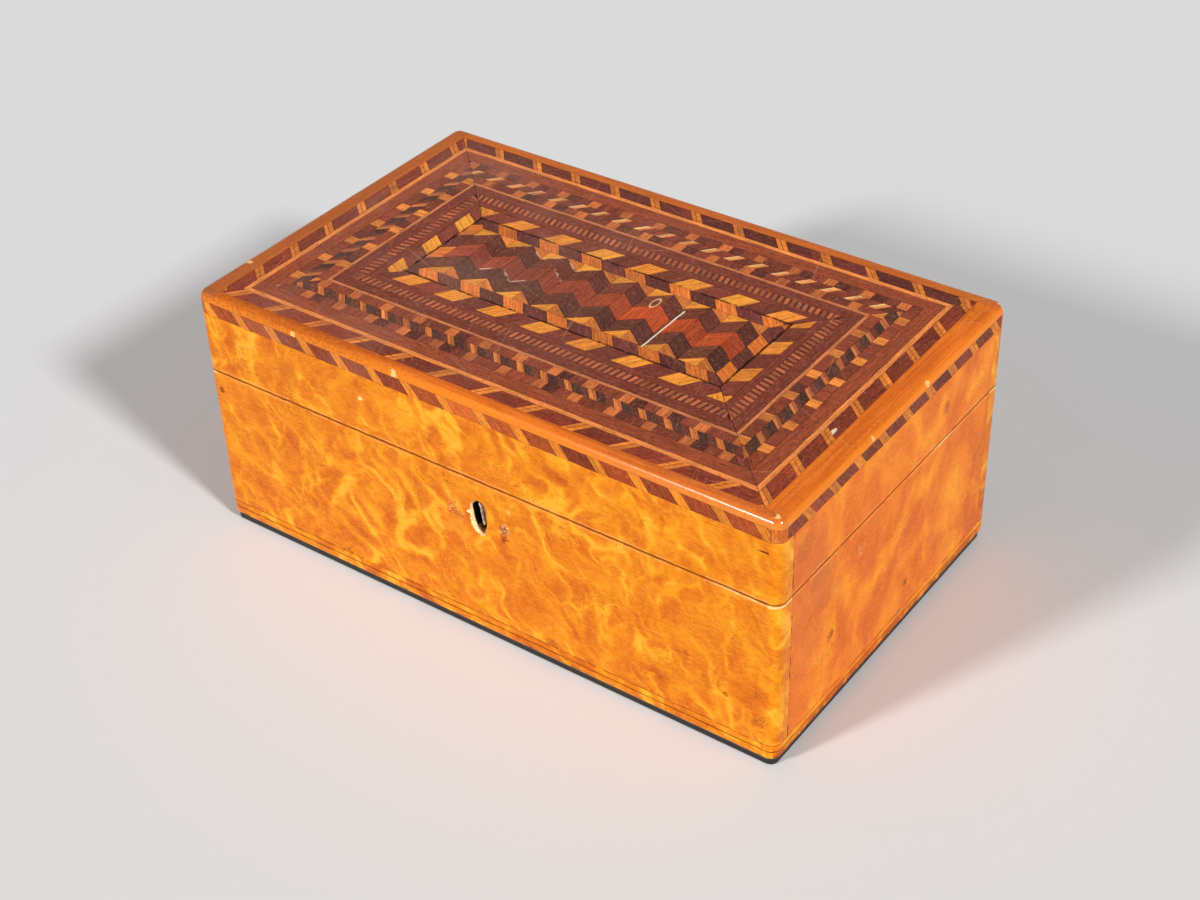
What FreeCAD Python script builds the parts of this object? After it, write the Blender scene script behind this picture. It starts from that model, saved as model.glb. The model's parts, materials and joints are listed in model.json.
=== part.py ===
import FreeCAD, Part
import math
import os

# A lockable wooden box with a hinged parquetry lid.
# Millimetres, Z up, X along the length, the keyhole side faces -Y, origin under the middle of the base.

# Overall size
LENGTH = 254.0
WIDTH = 155.0
HEIGHT = 107.0
PARTING = 72.5

# Boards, veneers and edges
BOTTOM_BOARD = 3.0
BOTTOM_INSET = 1.0
CORE = 7.0
VENEER = 1.0
CORNER_RADIUS = 4.0
CORNER_STRIP_ON_FRONT = 4.5
CORNER_LAP = 3.0
EDGING_HEIGHT = 7.0
EDGING_THICKNESS = 3.0
EDGING_BEVEL = 1.2
MOULDING_DROP = 3.7
MOULDING_ROUND = 3.4
MOULDING_ON_FRONT = 4.2
MOULDING_ON_BACK = 7.0
MOULDING_ON_END = 8.8
SIDE_BAND_HEIGHT = 5.5

# Butt hinges, let in flush behind bevelled back edges that stop the lid
HINGE_SETBACK = 2.2
HINGE_BEVEL = 50.5
HINGE_OFFSET = 75.0
HINGE_LENGTH = 30.0
HINGE_SEGMENTS = 3
KNUCKLE_RADIUS = 2.0
KNUCKLE_ROOM = 0.3
KNUCKLE_GAP = 0.15
PIN_RADIUS = 1.0
PIN_FIT = 0.02
PIN_RUNNING_FIT = 0.06
LEAF_THICKNESS = 1.2
LEAF_EDGE_MARGIN = 0.5
LEAF_SCREW_OFFSET = 9.0

# Countersunk wood screws
SCREW_HEAD_RADIUS = 1.6
SCREW_HEAD_HEIGHT = 0.9
SCREW_RADIUS = 0.8
SCREW_LENGTH = 7.0
SCREW_FIT = 0.03
SCREW_SIDES = 8

# Keyhole, with the veneer broken away round it
KEYHOLE_X = 1.8
KEYHOLE_TOP = 62.5
KEYHOLE_RADIUS = 2.1
KEYHOLE_SHOULDER = 52.6
KEYHOLE_LEAN = 1.1
KEYHOLE_POINT = (3.9, 49.4)
LINER_WALL = 0.7
LINER_BOTTOM = 53.6
LINER_REACH = 1.6
CHIP_OUTLINE = (
    (-0.5, 60.6), (0.5, 61.8), (2.6, 63.3), (4.4, 63.1), (6.4, 62.2), (6.8, 60.2),
    (6.6, 57.4), (6.8, 55.0), (6.3, 52.4), (5.2, 48.5), (4.0, 48.0), (1.2, 48.9),
    (-0.6, 51.5), (-1.0, 54.4), (-0.8, 56.1), (-2.6, 56.3), (-2.2, 57.2), (-0.9, 58.2),
)

# Box lock, let into the inside of the front wall
LOCK_DEPTH = 5.5
LOCK_LEFT = 21.2
LOCK_RIGHT = 20.6
LOCK_BOTTOM = 46.0
LOCK_WALL = 1.0
SELVEDGE_THICKNESS = 1.2
SELVEDGE_OVERHANG = 7.0
SELVEDGE_SCREW_INSET = 3.2
KEY_PIN_RADIUS = 1.1
KEY_PIN_REACH = 4.0
BOLT_TRAVEL = 4.0
BOLT_THICKNESS = 2.0
BOLT_BOTTOM = 63.8
BOLT_TOP = 70.8
BOLT_WINDOW_FLOOR = 66.2
BOLT_END_LAND = 2.0
BOLT_WAIST = 69.0
TALON_WIDTH = 6.0
TALON_TOP = 66.0
STUD_OFFSETS = (-13.0, 8.0)
STUD_WIDTH = 4.0
STUD_THICKNESS = 1.6
STUD_BOTTOM = 66.6
STUD_NOTCH_DEPTH = 2.2
STUD_NOTCH = (67.8, 70.0)
STUD_ROOM = 0.5
TOOTH = (68.0, 69.8)
TOOTH_LENGTH = 2.4
TOOTH_BACK_OFF = 2.2
SPRING_THICKNESS = 0.4
STRIKE_THICKNESS = 1.2
STRIKE_HALF = 21.0
STRIKE_SCREW_OFFSET = 17.5

# Parquetry on the lid, from the moulding inwards: widths of the bands
DASH_BAND = 6.0
OUTER_STRING = 2.2
PLAIN_BORDER = 6.0
STEPPED_LANE = 4.5
INNER_STRING = 1.5
ROPE_OUTER_GROUND = 5.0
ROPE_BARS = 3.9
ROPE_INNER_GROUND = 3.4
FIELD_FRAME = (6.6, 7.1)
FIELD_INNER_FRAME = (5.7, 6.1)
ZIGZAG_COLUMNS = 16
ZIGZAG_RISE = 6.4
ZIGZAG_LAYERS = (("field_dark", 8.6), ("field_red", 10.4), ("field_dark", 9.0))
GLUE_LINE = 0.1
SMALLEST_TILE = 0.4

# Order and length of the pieces in each band
DASH_SEQUENCE = (("dash_light", 4.6), ("dash_dark", 14.7))
SIDE_SEQUENCE = (("side_light", 5.1), ("side_dark", 11.05))
SQUARES_SEQUENCE = (("stepped_light", 4.5), ("stepped_dark", 10.7))
SLIVERS_SEQUENCE = (("stepped_light", 3.3), ("stepped_dark", 7.0))
FRAME_SEQUENCE = (("field_light", 9.3), ("field_dark", 10.6))

# Where a light piece starts on each side, and how far each band leans: plus is "/", minus is "\"
DASH_START = {"back": -96.6, "front": -116.1, "right": -47.2, "left": -53.5}
DASH_LEAN = {"back": -5.0, "front": 5.0, "right": -5.0, "left": -5.0}
SIDE_START = {"front": -8.7, "right": -12.7, "back": -8.7, "left": -12.7}
SIDE_LEAN = -4.2
SQUARES_START = {"back": 4.3, "front": -0.2, "right": -1.5, "left": 11.2}
SLIVERS_START = {"back": 4.3, "front": 6.0, "right": 0.9, "left": 4.4}
SLIVERS_LEAN = {"back": 4.0, "front": -4.0, "right": -4.0, "left": 4.0}
FRAME_START = {"back": -60.7, "front": -70.4, "right": -19.4, "left": -5.4}
FRAME_LEAN = {"back": 4.8, "front": 4.8, "right": 4.6, "left": -4.6}
INNER_FRAME_START = {"back": -57.2, "front": -63.3, "right": -17.2, "left": -12.0}
INNER_FRAME_LEAN = {"back": -4.8, "front": -4.8, "right": -3.6, "left": 4.0}

# Sizes that follow from the ones above
HALF_L = LENGTH / 2
HALF_W = WIDTH / 2
WALL = CORE + VENEER
INNER_X = HALF_L - WALL
INNER_Y = HALF_W - WALL
CORE_X = HALF_L - VENEER
CORE_Y = HALF_W - VENEER
BOARD_END_X = HALF_L - CORNER_STRIP_ON_FRONT
EDGING_TOP = BOTTOM_BOARD + EDGING_HEIGHT
BOARD_TOP = HEIGHT - VENEER
MOULDING_BOTTOM = HEIGHT - MOULDING_DROP
SIDE_BAND_BOTTOM = MOULDING_BOTTOM - SIDE_BAND_HEIGHT
BOARD_BOTTOM = SIDE_BAND_BOTTOM
PANEL = (HALF_L - MOULDING_ON_END, HALF_W - (MOULDING_ON_FRONT + MOULDING_ON_BACK) / 2)
PANEL_SHIFT = (MOULDING_ON_FRONT - MOULDING_ON_BACK) / 2
HINGE_Y = HALF_W - HINGE_SETBACK
HINGE_CENTRES = {"left": -HINGE_OFFSET, "right": HINGE_OFFSET}
LEAF_INNER_Y = INNER_Y + LEAF_EDGE_MARGIN
LEAF_SCREW_Y = (LEAF_INNER_Y + HINGE_Y - KNUCKLE_RADIUS) / 2
LOCK_BACK = -INNER_Y
LOCK_FRONT = LOCK_BACK - LOCK_DEPTH
LOCK_MIDDLE_Y = (LOCK_BACK + LOCK_FRONT) / 2
SELVEDGE_BOTTOM = PARTING - SELVEDGE_THICKNESS
KEY_PIN_Z = KEYHOLE_TOP - KEYHOLE_RADIUS
SIDES = ("front", "back", "left", "right")


def vector(x, y, z):
    return FreeCAD.Vector(x, y, z)


def block(x0, x1, y0, y1, z0, z1):
    return Part.makeBox(x1 - x0, y1 - y0, z1 - z0, vector(x0, y0, z0))


def prism(points, direction):
    """A straight prism from a closed outline of 3-D points."""
    outline = Part.makePolygon([vector(*p) for p in points] + [vector(*points[0])])
    return Part.Face(outline).extrude(vector(*direction))


def rounded_block(half_x, half_y, radius, z0, z1):
    solid = block(-half_x, half_x, -half_y, half_y, z0, z1)
    uprights = [e for e in solid.Edges if abs(e.tangentAt(e.FirstParameter).z) > 0.9]
    return solid.makeFillet(radius, uprights)


def edges_at(solid, z):
    return [e for e in solid.Edges if abs(e.BoundBox.ZMin - z) + abs(e.BoundBox.ZMax - z) < 1e-6]


def edging_band():
    """The edging round the foot of the case, as one closed band before it is mitred."""
    outer = rounded_block(HALF_L, HALF_W, CORNER_RADIUS, BOTTOM_BOARD, EDGING_TOP)
    inner_x, inner_y = HALF_L - EDGING_THICKNESS, HALF_W - EDGING_THICKNESS
    return outer.cut(block(-inner_x, inner_x, -inner_y, inner_y, BOTTOM_BOARD, EDGING_TOP))


def mitre_outline(side, outer, inner, shift=0.0):
    """Plan outline of one side of a mitred frame, anticlockwise. The shift moves its inner edge along Y."""
    (ox, oy), (ix, iy) = outer, inner
    near, far = shift - iy, shift + iy
    outlines = {
        "front": [(-ox, -oy), (ox, -oy), (ix, near), (-ix, near)],
        "back": [(-ix, far), (ix, far), (ox, oy), (-ox, oy)],
        "left": [(-ox, -oy), (-ix, near), (-ix, far), (-ox, oy)],
        "right": [(ix, near), (ox, -oy), (ox, oy), (ix, far)],
    }
    return outlines[side]


def mitred_piece(side, outer, inner, z0, z1, shift=0.0):
    outline = [(x, y, z0) for x, y in mitre_outline(side, outer, inner, shift)]
    return prism(outline, (0, 0, z1 - z0))


def save(name, *solids):
    shape = solids[0] if len(solids) == 1 else Part.makeCompound(list(solids))
    shape.exportStep("parts/" + name + ".step")


# Outer forms: the rounded corners, eased edges and back bevel that every outer piece is trimmed to


def back_bevel(up):
    """The wedge cut off the back edge so that the lid can lean back until the bevels meet."""
    reach = 2 * HINGE_SETBACK
    rise = up * reach * math.tan(math.radians(HINGE_BEVEL))
    corner = [(HINGE_Y, PARTING), (HINGE_Y + reach, PARTING), (HINGE_Y + reach, PARTING + rise)]
    outline = [(-LENGTH, y, z) for y, z in corner]
    return prism(outline, (2 * LENGTH, 0, 0))


def case_form():
    solid = rounded_block(HALF_L, HALF_W, CORNER_RADIUS, BOTTOM_BOARD, PARTING)
    solid = solid.makeChamfer(EDGING_BEVEL, edges_at(solid, BOTTOM_BOARD))
    return solid.cut(back_bevel(-1))


def lid_form():
    solid = rounded_block(HALF_L, HALF_W, CORNER_RADIUS, PARTING, HEIGHT)
    solid = solid.makeFillet(MOULDING_ROUND, edges_at(solid, HEIGHT))
    return solid.cut(back_bevel(1))


def frame_boards(z0, z1):
    """Four boards with lapped corners: the ends reach into rebates in the front and back."""
    lap_y = INNER_Y + CORNER_LAP
    boards = {}
    for name, side in (("front", -1), ("back", 1)):
        low, high = sorted((side * CORE_Y, side * INNER_Y))
        board = block(-BOARD_END_X, BOARD_END_X, low, high, z0, z1)
        boards[name] = board
    for name, side in (("left", -1), ("right", 1)):
        low, high = sorted((side * INNER_X, side * CORE_X))
        tongue_low, tongue_high = sorted((side * INNER_X, side * BOARD_END_X))
        board = block(low, high, -INNER_Y, INNER_Y, z0, z1)
        tongue = block(tongue_low, tongue_high, -lap_y, lap_y, z0, z1)
        boards["front"] = boards["front"].cut(tongue)
        boards["back"] = boards["back"].cut(tongue)
        boards[name] = board.fuse(tongue).removeSplitter()
    return boards


def face_veneers(z0, z1):
    return {
        "front": block(-BOARD_END_X, BOARD_END_X, -HALF_W, -CORE_Y, z0, z1),
        "back": block(-BOARD_END_X, BOARD_END_X, CORE_Y, HALF_W, z0, z1),
        "left": block(-HALF_L, -CORE_X, -INNER_Y, INNER_Y, z0, z1),
        "right": block(CORE_X, HALF_L, -INNER_Y, INNER_Y, z0, z1),
    }


def corner_blocks(inner_x, inner_y, z0, z1):
    """The four outer corners of the box beyond inner_x and inner_y."""
    blocks = []
    for x_side in (-1, 1):
        for y_side in (-1, 1):
            x0, x1 = sorted((x_side * inner_x, x_side * HALF_L))
            y0, y1 = sorted((y_side * inner_y, y_side * HALF_W))
            blocks.append(block(x0, x1, y0, y1, z0, z1))
    return blocks


# Screws


def faceted_turning(profile, x, y, z, down):
    """A small turned solid with flat sides, from (radius, depth) pairs, going down (1) or up (-1) from z."""
    rings = []
    for radius, depth in profile:
        ring_points = []
        for side in range(SCREW_SIDES):
            angle = 2 * math.pi * side / SCREW_SIDES
            along, across = radius * math.cos(angle), radius * math.sin(angle)
            ring_points.append(vector(x + along, y + across, z - down * depth))
        rings.append(ring_points)
    outlines = [rings[0], rings[-1]]
    for upper, lower in zip(rings, rings[1:]):
        for side in range(SCREW_SIDES):
            outlines.append([upper[side - 1], upper[side], lower[side], lower[side - 1]])
    faces = [Part.Face(Part.makePolygon(outline + outline[:1])) for outline in outlines]
    solid = Part.Solid(Part.Shell(faces))
    return solid if solid.Volume > 0 else solid.reversed()


def screw(x, y, z, down):
    """A countersunk screw with its head flush at z."""
    profile = [(SCREW_HEAD_RADIUS, 0), (SCREW_RADIUS, SCREW_HEAD_HEIGHT), (SCREW_RADIUS / 2, SCREW_LENGTH)]
    return faceted_turning(profile, x, y, z, down)


def screw_hole(x, y, z, down):
    mouth, bore = SCREW_HEAD_RADIUS + SCREW_FIT, SCREW_RADIUS + SCREW_FIT
    profile = [(mouth, 0), (bore, SCREW_HEAD_HEIGHT), (bore, SCREW_LENGTH)]
    return faceted_turning(profile, x, y, z, down)


# Hinges


def rod_along_x(radius, x0, x1):
    return Part.makeCylinder(radius, x1 - x0, vector(x0, HINGE_Y, PARTING), vector(1, 0, 0))


def leaf_screw_places(middle):
    return [(middle + side * LEAF_SCREW_OFFSET, LEAF_SCREW_Y) for side in (-1, 1)]


def leaf_recess(middle, up):
    """Room in a back board for one leaf and the knuckles."""
    z0, z1 = sorted((PARTING, PARTING + up * LEAF_THICKNESS))
    half = HINGE_LENGTH / 2
    room = block(middle - half, middle + half, LEAF_INNER_Y, HINGE_Y, z0, z1)
    reach = half + KNUCKLE_ROOM
    return room.fuse(rod_along_x(KNUCKLE_RADIUS + KNUCKLE_ROOM, middle - reach, middle + reach))


def hinge_leaf(middle, up):
    """One leaf with its rolled knuckles: two at the ends of the lower leaf, one on the upper leaf."""
    half = HINGE_LENGTH / 2
    segment = HINGE_LENGTH / HINGE_SEGMENTS
    z0, z1 = sorted((PARTING, PARTING + up * LEAF_THICKNESS))
    leaf = block(middle - half, middle + half, LEAF_INNER_Y, HINGE_Y, z0, z1)
    first_own = 0 if up < 0 else 1
    for index in range(HINGE_SEGMENTS):
        x0 = middle - half + index * segment
        x1 = x0 + segment
        if index % 2 != first_own:
            room = KNUCKLE_RADIUS + KNUCKLE_ROOM
            leaf = leaf.cut(rod_along_x(room, x0 - KNUCKLE_GAP, x1 + KNUCKLE_GAP))
    for index in range(first_own, HINGE_SEGMENTS, 2):
        x0 = middle - half + index * segment + KNUCKLE_GAP
        leaf = leaf.fuse(rod_along_x(KNUCKLE_RADIUS, x0, x0 + segment - 2 * KNUCKLE_GAP))
    bore = PIN_RADIUS + (PIN_FIT if up < 0 else PIN_RUNNING_FIT)
    leaf = leaf.cut(rod_along_x(bore, middle - HINGE_LENGTH, middle + HINGE_LENGTH))
    for x, y in leaf_screw_places(middle):
        leaf = leaf.cut(screw_hole(x, y, PARTING, -up))
    return leaf.removeSplitter()


def hinge_pin(middle):
    half = HINGE_LENGTH / 2 - KNUCKLE_GAP
    return rod_along_x(PIN_RADIUS, middle - half, middle + half)


# Keyhole and lock


def keyhole(grow, y0, y1):
    """The keyhole as a plug from y0 to y1: round at the top, sides that lean a little, a point below."""
    radius = KEYHOLE_RADIUS + grow
    left = vector(KEYHOLE_X - radius, y0, KEY_PIN_Z)
    top = vector(KEYHOLE_X, y0, KEY_PIN_Z + radius)
    right = vector(KEYHOLE_X + radius, y0, KEY_PIN_Z)
    low_right = vector(KEYHOLE_X + radius + KEYHOLE_LEAN, y0, KEYHOLE_SHOULDER)
    point = vector(KEYHOLE_POINT[0], y0, KEYHOLE_POINT[1] - grow)
    low_left = vector(KEYHOLE_X - radius + KEYHOLE_LEAN, y0, KEYHOLE_SHOULDER)
    edges = [Part.Arc(left, top, right).toShape()]
    for start, end in ((right, low_right), (low_right, point), (point, low_left), (low_left, left)):
        edges.append(Part.LineSegment(start, end).toShape())
    return Part.Face(Part.Wire(edges)).extrude(vector(0, y1 - y0, 0))


def keyhole_liner():
    """What is left of a thin escutcheon: the right-hand side of its sleeve."""
    sleeve = keyhole(LINER_WALL, -HALF_W, LOCK_FRONT).cut(keyhole(0, -HALF_W, LOCK_FRONT))
    left = KEYHOLE_X + LINER_REACH
    return sleeve.common(block(left, HALF_L, -HALF_W, LOCK_FRONT, LINER_BOTTOM, PARTING))


def selvedge_span():
    left = KEYHOLE_X - LOCK_LEFT - SELVEDGE_OVERHANG
    return left, KEYHOLE_X + LOCK_RIGHT + SELVEDGE_OVERHANG


def lock_screw_places():
    left, right = selvedge_span()
    return [(left + SELVEDGE_SCREW_INSET, LOCK_MIDDLE_Y), (right - SELVEDGE_SCREW_INSET, LOCK_MIDDLE_Y)]


def lock_body():
    """The outer form of the lock, which is also the mortise cut for it."""
    left, right = KEYHOLE_X - LOCK_LEFT, KEYHOLE_X + LOCK_RIGHT
    body = block(left, right, LOCK_FRONT, LOCK_BACK, LOCK_BOTTOM, PARTING)
    left, right = selvedge_span()
    return body.fuse(block(left, right, LOCK_FRONT, LOCK_BACK, SELVEDGE_BOTTOM, PARTING)).removeSplitter()


def lock_inside(y1):
    left, right = KEYHOLE_X - LOCK_LEFT + LOCK_WALL, KEYHOLE_X + LOCK_RIGHT - LOCK_WALL
    return block(left, right, LOCK_FRONT + LOCK_WALL, y1, LOCK_BOTTOM + LOCK_WALL, SELVEDGE_BOTTOM)


def stud_span(offset):
    left = KEYHOLE_X + offset
    return left, left + STUD_WIDTH


def lock_case():
    """A tray with the keyhole in its floor and a top plate with two slots for the studs."""
    case = lock_body().cut(lock_inside(LOCK_BACK))
    case = case.cut(keyhole(0, LOCK_FRONT, LOCK_FRONT + LOCK_WALL))
    half = STUD_THICKNESS / 2 + STUD_ROOM
    for offset in STUD_OFFSETS:
        left, right = stud_span(offset)
        low, high = LOCK_MIDDLE_Y - half, LOCK_MIDDLE_Y + half
        case = case.cut(block(left - STUD_ROOM, right + STUD_ROOM, low, high, SELVEDGE_BOTTOM, PARTING))
    for x, y in lock_screw_places():
        case = case.cut(screw_hole(x, y, PARTING, 1))
    return case


def lock_cap():
    """The plate that closes the tray, let in flush."""
    inside = lock_inside(LOCK_BACK)
    box = inside.BoundBox
    return block(box.XMin, box.XMax, LOCK_BACK - LOCK_WALL, LOCK_BACK, box.ZMin, box.ZMax)


def lock_key_pin():
    start = vector(KEYHOLE_X, LOCK_BACK - LOCK_WALL, KEY_PIN_Z)
    return Part.makeCylinder(KEY_PIN_RADIUS, KEY_PIN_REACH, start, vector(0, -1, 0))


def lock_bolt():
    """The bolt drawn back: two windows with a tooth in each, and a notch that the key works in."""
    y0 = LOCK_MIDDLE_Y - BOLT_THICKNESS / 2
    y1 = LOCK_MIDDLE_Y + BOLT_THICKNESS / 2
    windows = []
    for offset in STUD_OFFSETS:
        left, right = stud_span(offset)
        tip = left - TOOTH_BACK_OFF
        windows.append((tip - TOOTH_LENGTH, tip, right + STUD_ROOM))
    bolt_left = windows[0][0] - BOLT_END_LAND
    bolt_right = windows[-1][2] + BOLT_END_LAND
    bolt = block(bolt_left, bolt_right, y0, y1, BOLT_BOTTOM, BOLT_TOP)
    for root, tip, right in windows:
        bolt = bolt.cut(block(root, right, y0, y1, BOLT_WINDOW_FLOOR, BOLT_TOP))
        bolt = bolt.fuse(block(root, tip, y0, y1, *TOOTH))
    waist_left, waist_right = windows[0][2] + BOLT_END_LAND, windows[1][0] - BOLT_END_LAND
    bolt = bolt.cut(block(waist_left, waist_right, y0, y1, BOLT_WAIST, BOLT_TOP))
    half = TALON_WIDTH / 2
    talon = block(KEYHOLE_X - half, KEYHOLE_X + half, y0, y1, BOLT_BOTTOM, TALON_TOP)
    return bolt.cut(talon).removeSplitter(), (waist_left, waist_right)


def lock_spring(waist):
    """A bowed strip on the bolt's waist that rubs under the top plate and keeps the bolt where it is put."""
    left, right = waist
    y0 = LOCK_MIDDLE_Y - BOLT_THICKNESS / 2
    middle = (left + right) / 2
    crown = SELVEDGE_BOTTOM - SPRING_THICKNESS / 2
    wires = []
    for drop in (0.0, SPRING_THICKNESS):
        start = vector(left + drop, y0, BOLT_WAIST)
        top = vector(middle, y0, crown - drop)
        end = vector(right - drop, y0, BOLT_WAIST)
        wires.append((start, Part.Arc(start, top, end).toShape(), end))
    (outer_start, outer, outer_end), (inner_start, inner, inner_end) = wires
    right_foot = Part.LineSegment(outer_end, inner_end).toShape()
    left_foot = Part.LineSegment(inner_start, outer_start).toShape()
    outline = Part.Wire(Part.__sortEdges__([outer, right_foot, inner, left_foot]))
    return Part.Face(outline).extrude(vector(0, BOLT_THICKNESS, 0))


def strike_screw_places():
    return [(KEYHOLE_X + side * STRIKE_SCREW_OFFSET, LOCK_MIDDLE_Y) for side in (-1, 1)]


def strike_bed():
    left, right = KEYHOLE_X - STRIKE_HALF, KEYHOLE_X + STRIKE_HALF
    return block(left, right, LOCK_FRONT, LOCK_BACK, PARTING, PARTING + STRIKE_THICKNESS)


def strike_plate():
    """The plate under the lid's front rail, with two studs that the bolt's teeth hook into."""
    plate = strike_bed()
    y0 = LOCK_MIDDLE_Y - STUD_THICKNESS / 2
    y1 = LOCK_MIDDLE_Y + STUD_THICKNESS / 2
    for offset in STUD_OFFSETS:
        left, right = stud_span(offset)
        stud = block(left, right, y0, y1, STUD_BOTTOM, PARTING)
        stud = stud.cut(block(left, left + STUD_NOTCH_DEPTH, y0, y1, *STUD_NOTCH))
        plate = plate.fuse(stud)
    for x, y in strike_screw_places():
        plate = plate.cut(screw_hole(x, y, PARTING, -1))
    return plate.removeSplitter()


# Parquetry: flat outlines laid out in plan, trimmed to their band and cut from one thickness of veneer


def clip(outline, window):
    """The part of an outline inside a convex anticlockwise window."""
    for (ax, ay), (bx, by) in zip(window, window[1:] + window[:1]):
        kept = []
        for (px, py), (qx, qy) in zip(outline, outline[1:] + outline[:1]):
            p_side = (bx - ax) * (py - ay) - (by - ay) * (px - ax)
            q_side = (bx - ax) * (qy - ay) - (by - ay) * (qx - ax)
            if p_side >= 0:
                kept.append((px, py))
            if p_side * q_side < 0:
                share = p_side / (p_side - q_side)
                kept.append((px + share * (qx - px), py + share * (qy - py)))
        outline = kept
        if len(outline) < 3:
            return []
    return outline


def shrink(outline, gap):
    """A convex anticlockwise outline moved in by gap on every edge."""
    for (px, py), (qx, qy) in list(zip(outline, outline[1:] + outline[:1])):
        length = math.hypot(qx - px, qy - py)
        if length < 1e-6:
            continue
        nx, ny = -(qy - py) / length * gap, (qx - px) / length * gap
        reach = 2 * LENGTH / length
        dx, dy = (qx - px) * reach, (qy - py) * reach
        start, end = (px + nx - dx, py + ny - dy), (px + nx + dx, py + ny + dy)
        half_plane = [start, end, (end[0] - dy, end[1] + dx), (start[0] - dy, start[1] + dx)]
        outline = clip(outline, half_plane) if outline else []
    return outline


def area(outline):
    turns = zip(outline, outline[1:] + outline[:1])
    return sum(px * qy - qx * py for (px, py), (qx, qy) in turns) / 2


def anticlockwise(outline):
    return outline if area(outline) > 0 else outline[::-1]


def run_of_pieces(sequence, start, low, high, lean):
    """The pieces of a strip from low to high, as (tone, four outline points along and across 0 to 1)."""
    pitch = sum(length for tone, length in sequence)
    reach = abs(lean)
    position = start - pitch * math.ceil((start - low + reach) / pitch)
    while position < high + reach:
        for tone, length in sequence:
            end = position + length
            yield tone, [(position, 0), (end, 0), (end + lean, 1), (position + lean, 1)]
            position = end


def lay_tile(tiles, tone, outline, window):
    piece = clip(anticlockwise(outline), window)
    piece = shrink(piece, GLUE_LINE / 2) if piece else []
    if piece and area(piece) > SMALLEST_TILE:
        base = [(x, y + PANEL_SHIFT, BOARD_TOP) for x, y in piece]
        tiles.setdefault(tone, []).append(prism(base, (0, 0, VENEER)))


def lay_band(tiles, outer, widths, sequence, start, lean):
    """One ring of four mitred strips of repeating pieces. Returns the ring's inner half size."""
    inner = (outer[0] - widths[0], outer[1] - widths[1])
    for side in SIDES:
        window = mitre_outline(side, outer, inner)
        along_x = side in ("front", "back")
        reach = outer[0] if along_x else outer[1]
        edges = sorted(p[1] if along_x else p[0] for p in window)
        low_edge, high_edge = edges[0], edges[-1]
        for tone, piece in run_of_pieces(sequence, start[side], -reach, reach, lean[side]):
            placed = [(along, low_edge + across * (high_edge - low_edge)) for along, across in piece]
            outline = placed if along_x else [(across, along) for along, across in placed]
            lay_tile(tiles, tone, outline, window)
    return inner


def lay_strips(tiles, tone, outer, width):
    """One ring of plain mitred strips. Returns the ring's inner half size."""
    inner = (outer[0] - width, outer[1] - width)
    for side in SIDES:
        window = mitre_outline(side, outer, inner)
        lay_tile(tiles, tone, window, window)
    return inner


def lay_zigzags(tiles, half_x, half_y):
    """The middle panel: columns of pieces that lean alternately, with teeth above and below."""
    window = [(-half_x, -half_y), (half_x, -half_y), (half_x, half_y), (-half_x, half_y)]
    column = 2 * half_x / ZIGZAG_COLUMNS
    for index in range(ZIGZAG_COLUMNS):
        x0 = -half_x + index * column
        x1 = x0 + column
        rises = index % 2 == 0
        left = half_y - (ZIGZAG_RISE if rises else 0)
        right = half_y - (0 if rises else ZIGZAG_RISE)
        low_x = x0 if rises else x1
        lay_tile(tiles, "field_light", [(low_x, half_y - ZIGZAG_RISE), (x1, half_y), (x0, half_y)], window)
        for tone, depth in ZIGZAG_LAYERS:
            outline = [(x0, left - depth), (x1, right - depth), (x1, right), (x0, left)]
            lay_tile(tiles, tone, outline, window)
            left -= depth
            right -= depth
        high_x = x1 if rises else x0
        lay_tile(tiles, "field_light", [(x0, -half_y), (x1, -half_y), (high_x, ZIGZAG_RISE - half_y)], window)


def lid_parquetry():
    tiles = {}
    level = {side: 0.0 for side in SIDES}
    lane = (STEPPED_LANE, STEPPED_LANE)
    edge = lay_band(tiles, PANEL, (DASH_BAND, DASH_BAND), DASH_SEQUENCE, DASH_START, DASH_LEAN)
    edge = lay_strips(tiles, "outer_string", edge, OUTER_STRING)
    edge = lay_strips(tiles, "plain_border", edge, PLAIN_BORDER)
    edge = lay_band(tiles, edge, lane, SQUARES_SEQUENCE, SQUARES_START, level)
    edge = lay_band(tiles, edge, lane, SLIVERS_SEQUENCE, SLIVERS_START, SLIVERS_LEAN)
    edge = lay_band(tiles, edge, lane, SQUARES_SEQUENCE, SQUARES_START, level)
    edge = lay_strips(tiles, "inner_string", edge, INNER_STRING)
    edge = lay_strips(tiles, "rope_ground", edge, ROPE_OUTER_GROUND)
    edge = lay_strips(tiles, "rope_bars", edge, ROPE_BARS)
    edge = lay_strips(tiles, "rope_ground", edge, ROPE_INNER_GROUND)
    edge = lay_band(tiles, edge, FIELD_FRAME, FRAME_SEQUENCE, FRAME_START, FRAME_LEAN)
    edge = lay_band(tiles, edge, FIELD_INNER_FRAME, FRAME_SEQUENCE, INNER_FRAME_START, INNER_FRAME_LEAN)
    lay_zigzags(tiles, *edge)
    return tiles


def side_band_corners():
    inner_x, inner_y = HALF_L - CORNER_RADIUS, HALF_W - CORNER_RADIUS
    return corner_blocks(inner_x, inner_y, SIDE_BAND_BOTTOM, MOULDING_BOTTOM)


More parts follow.
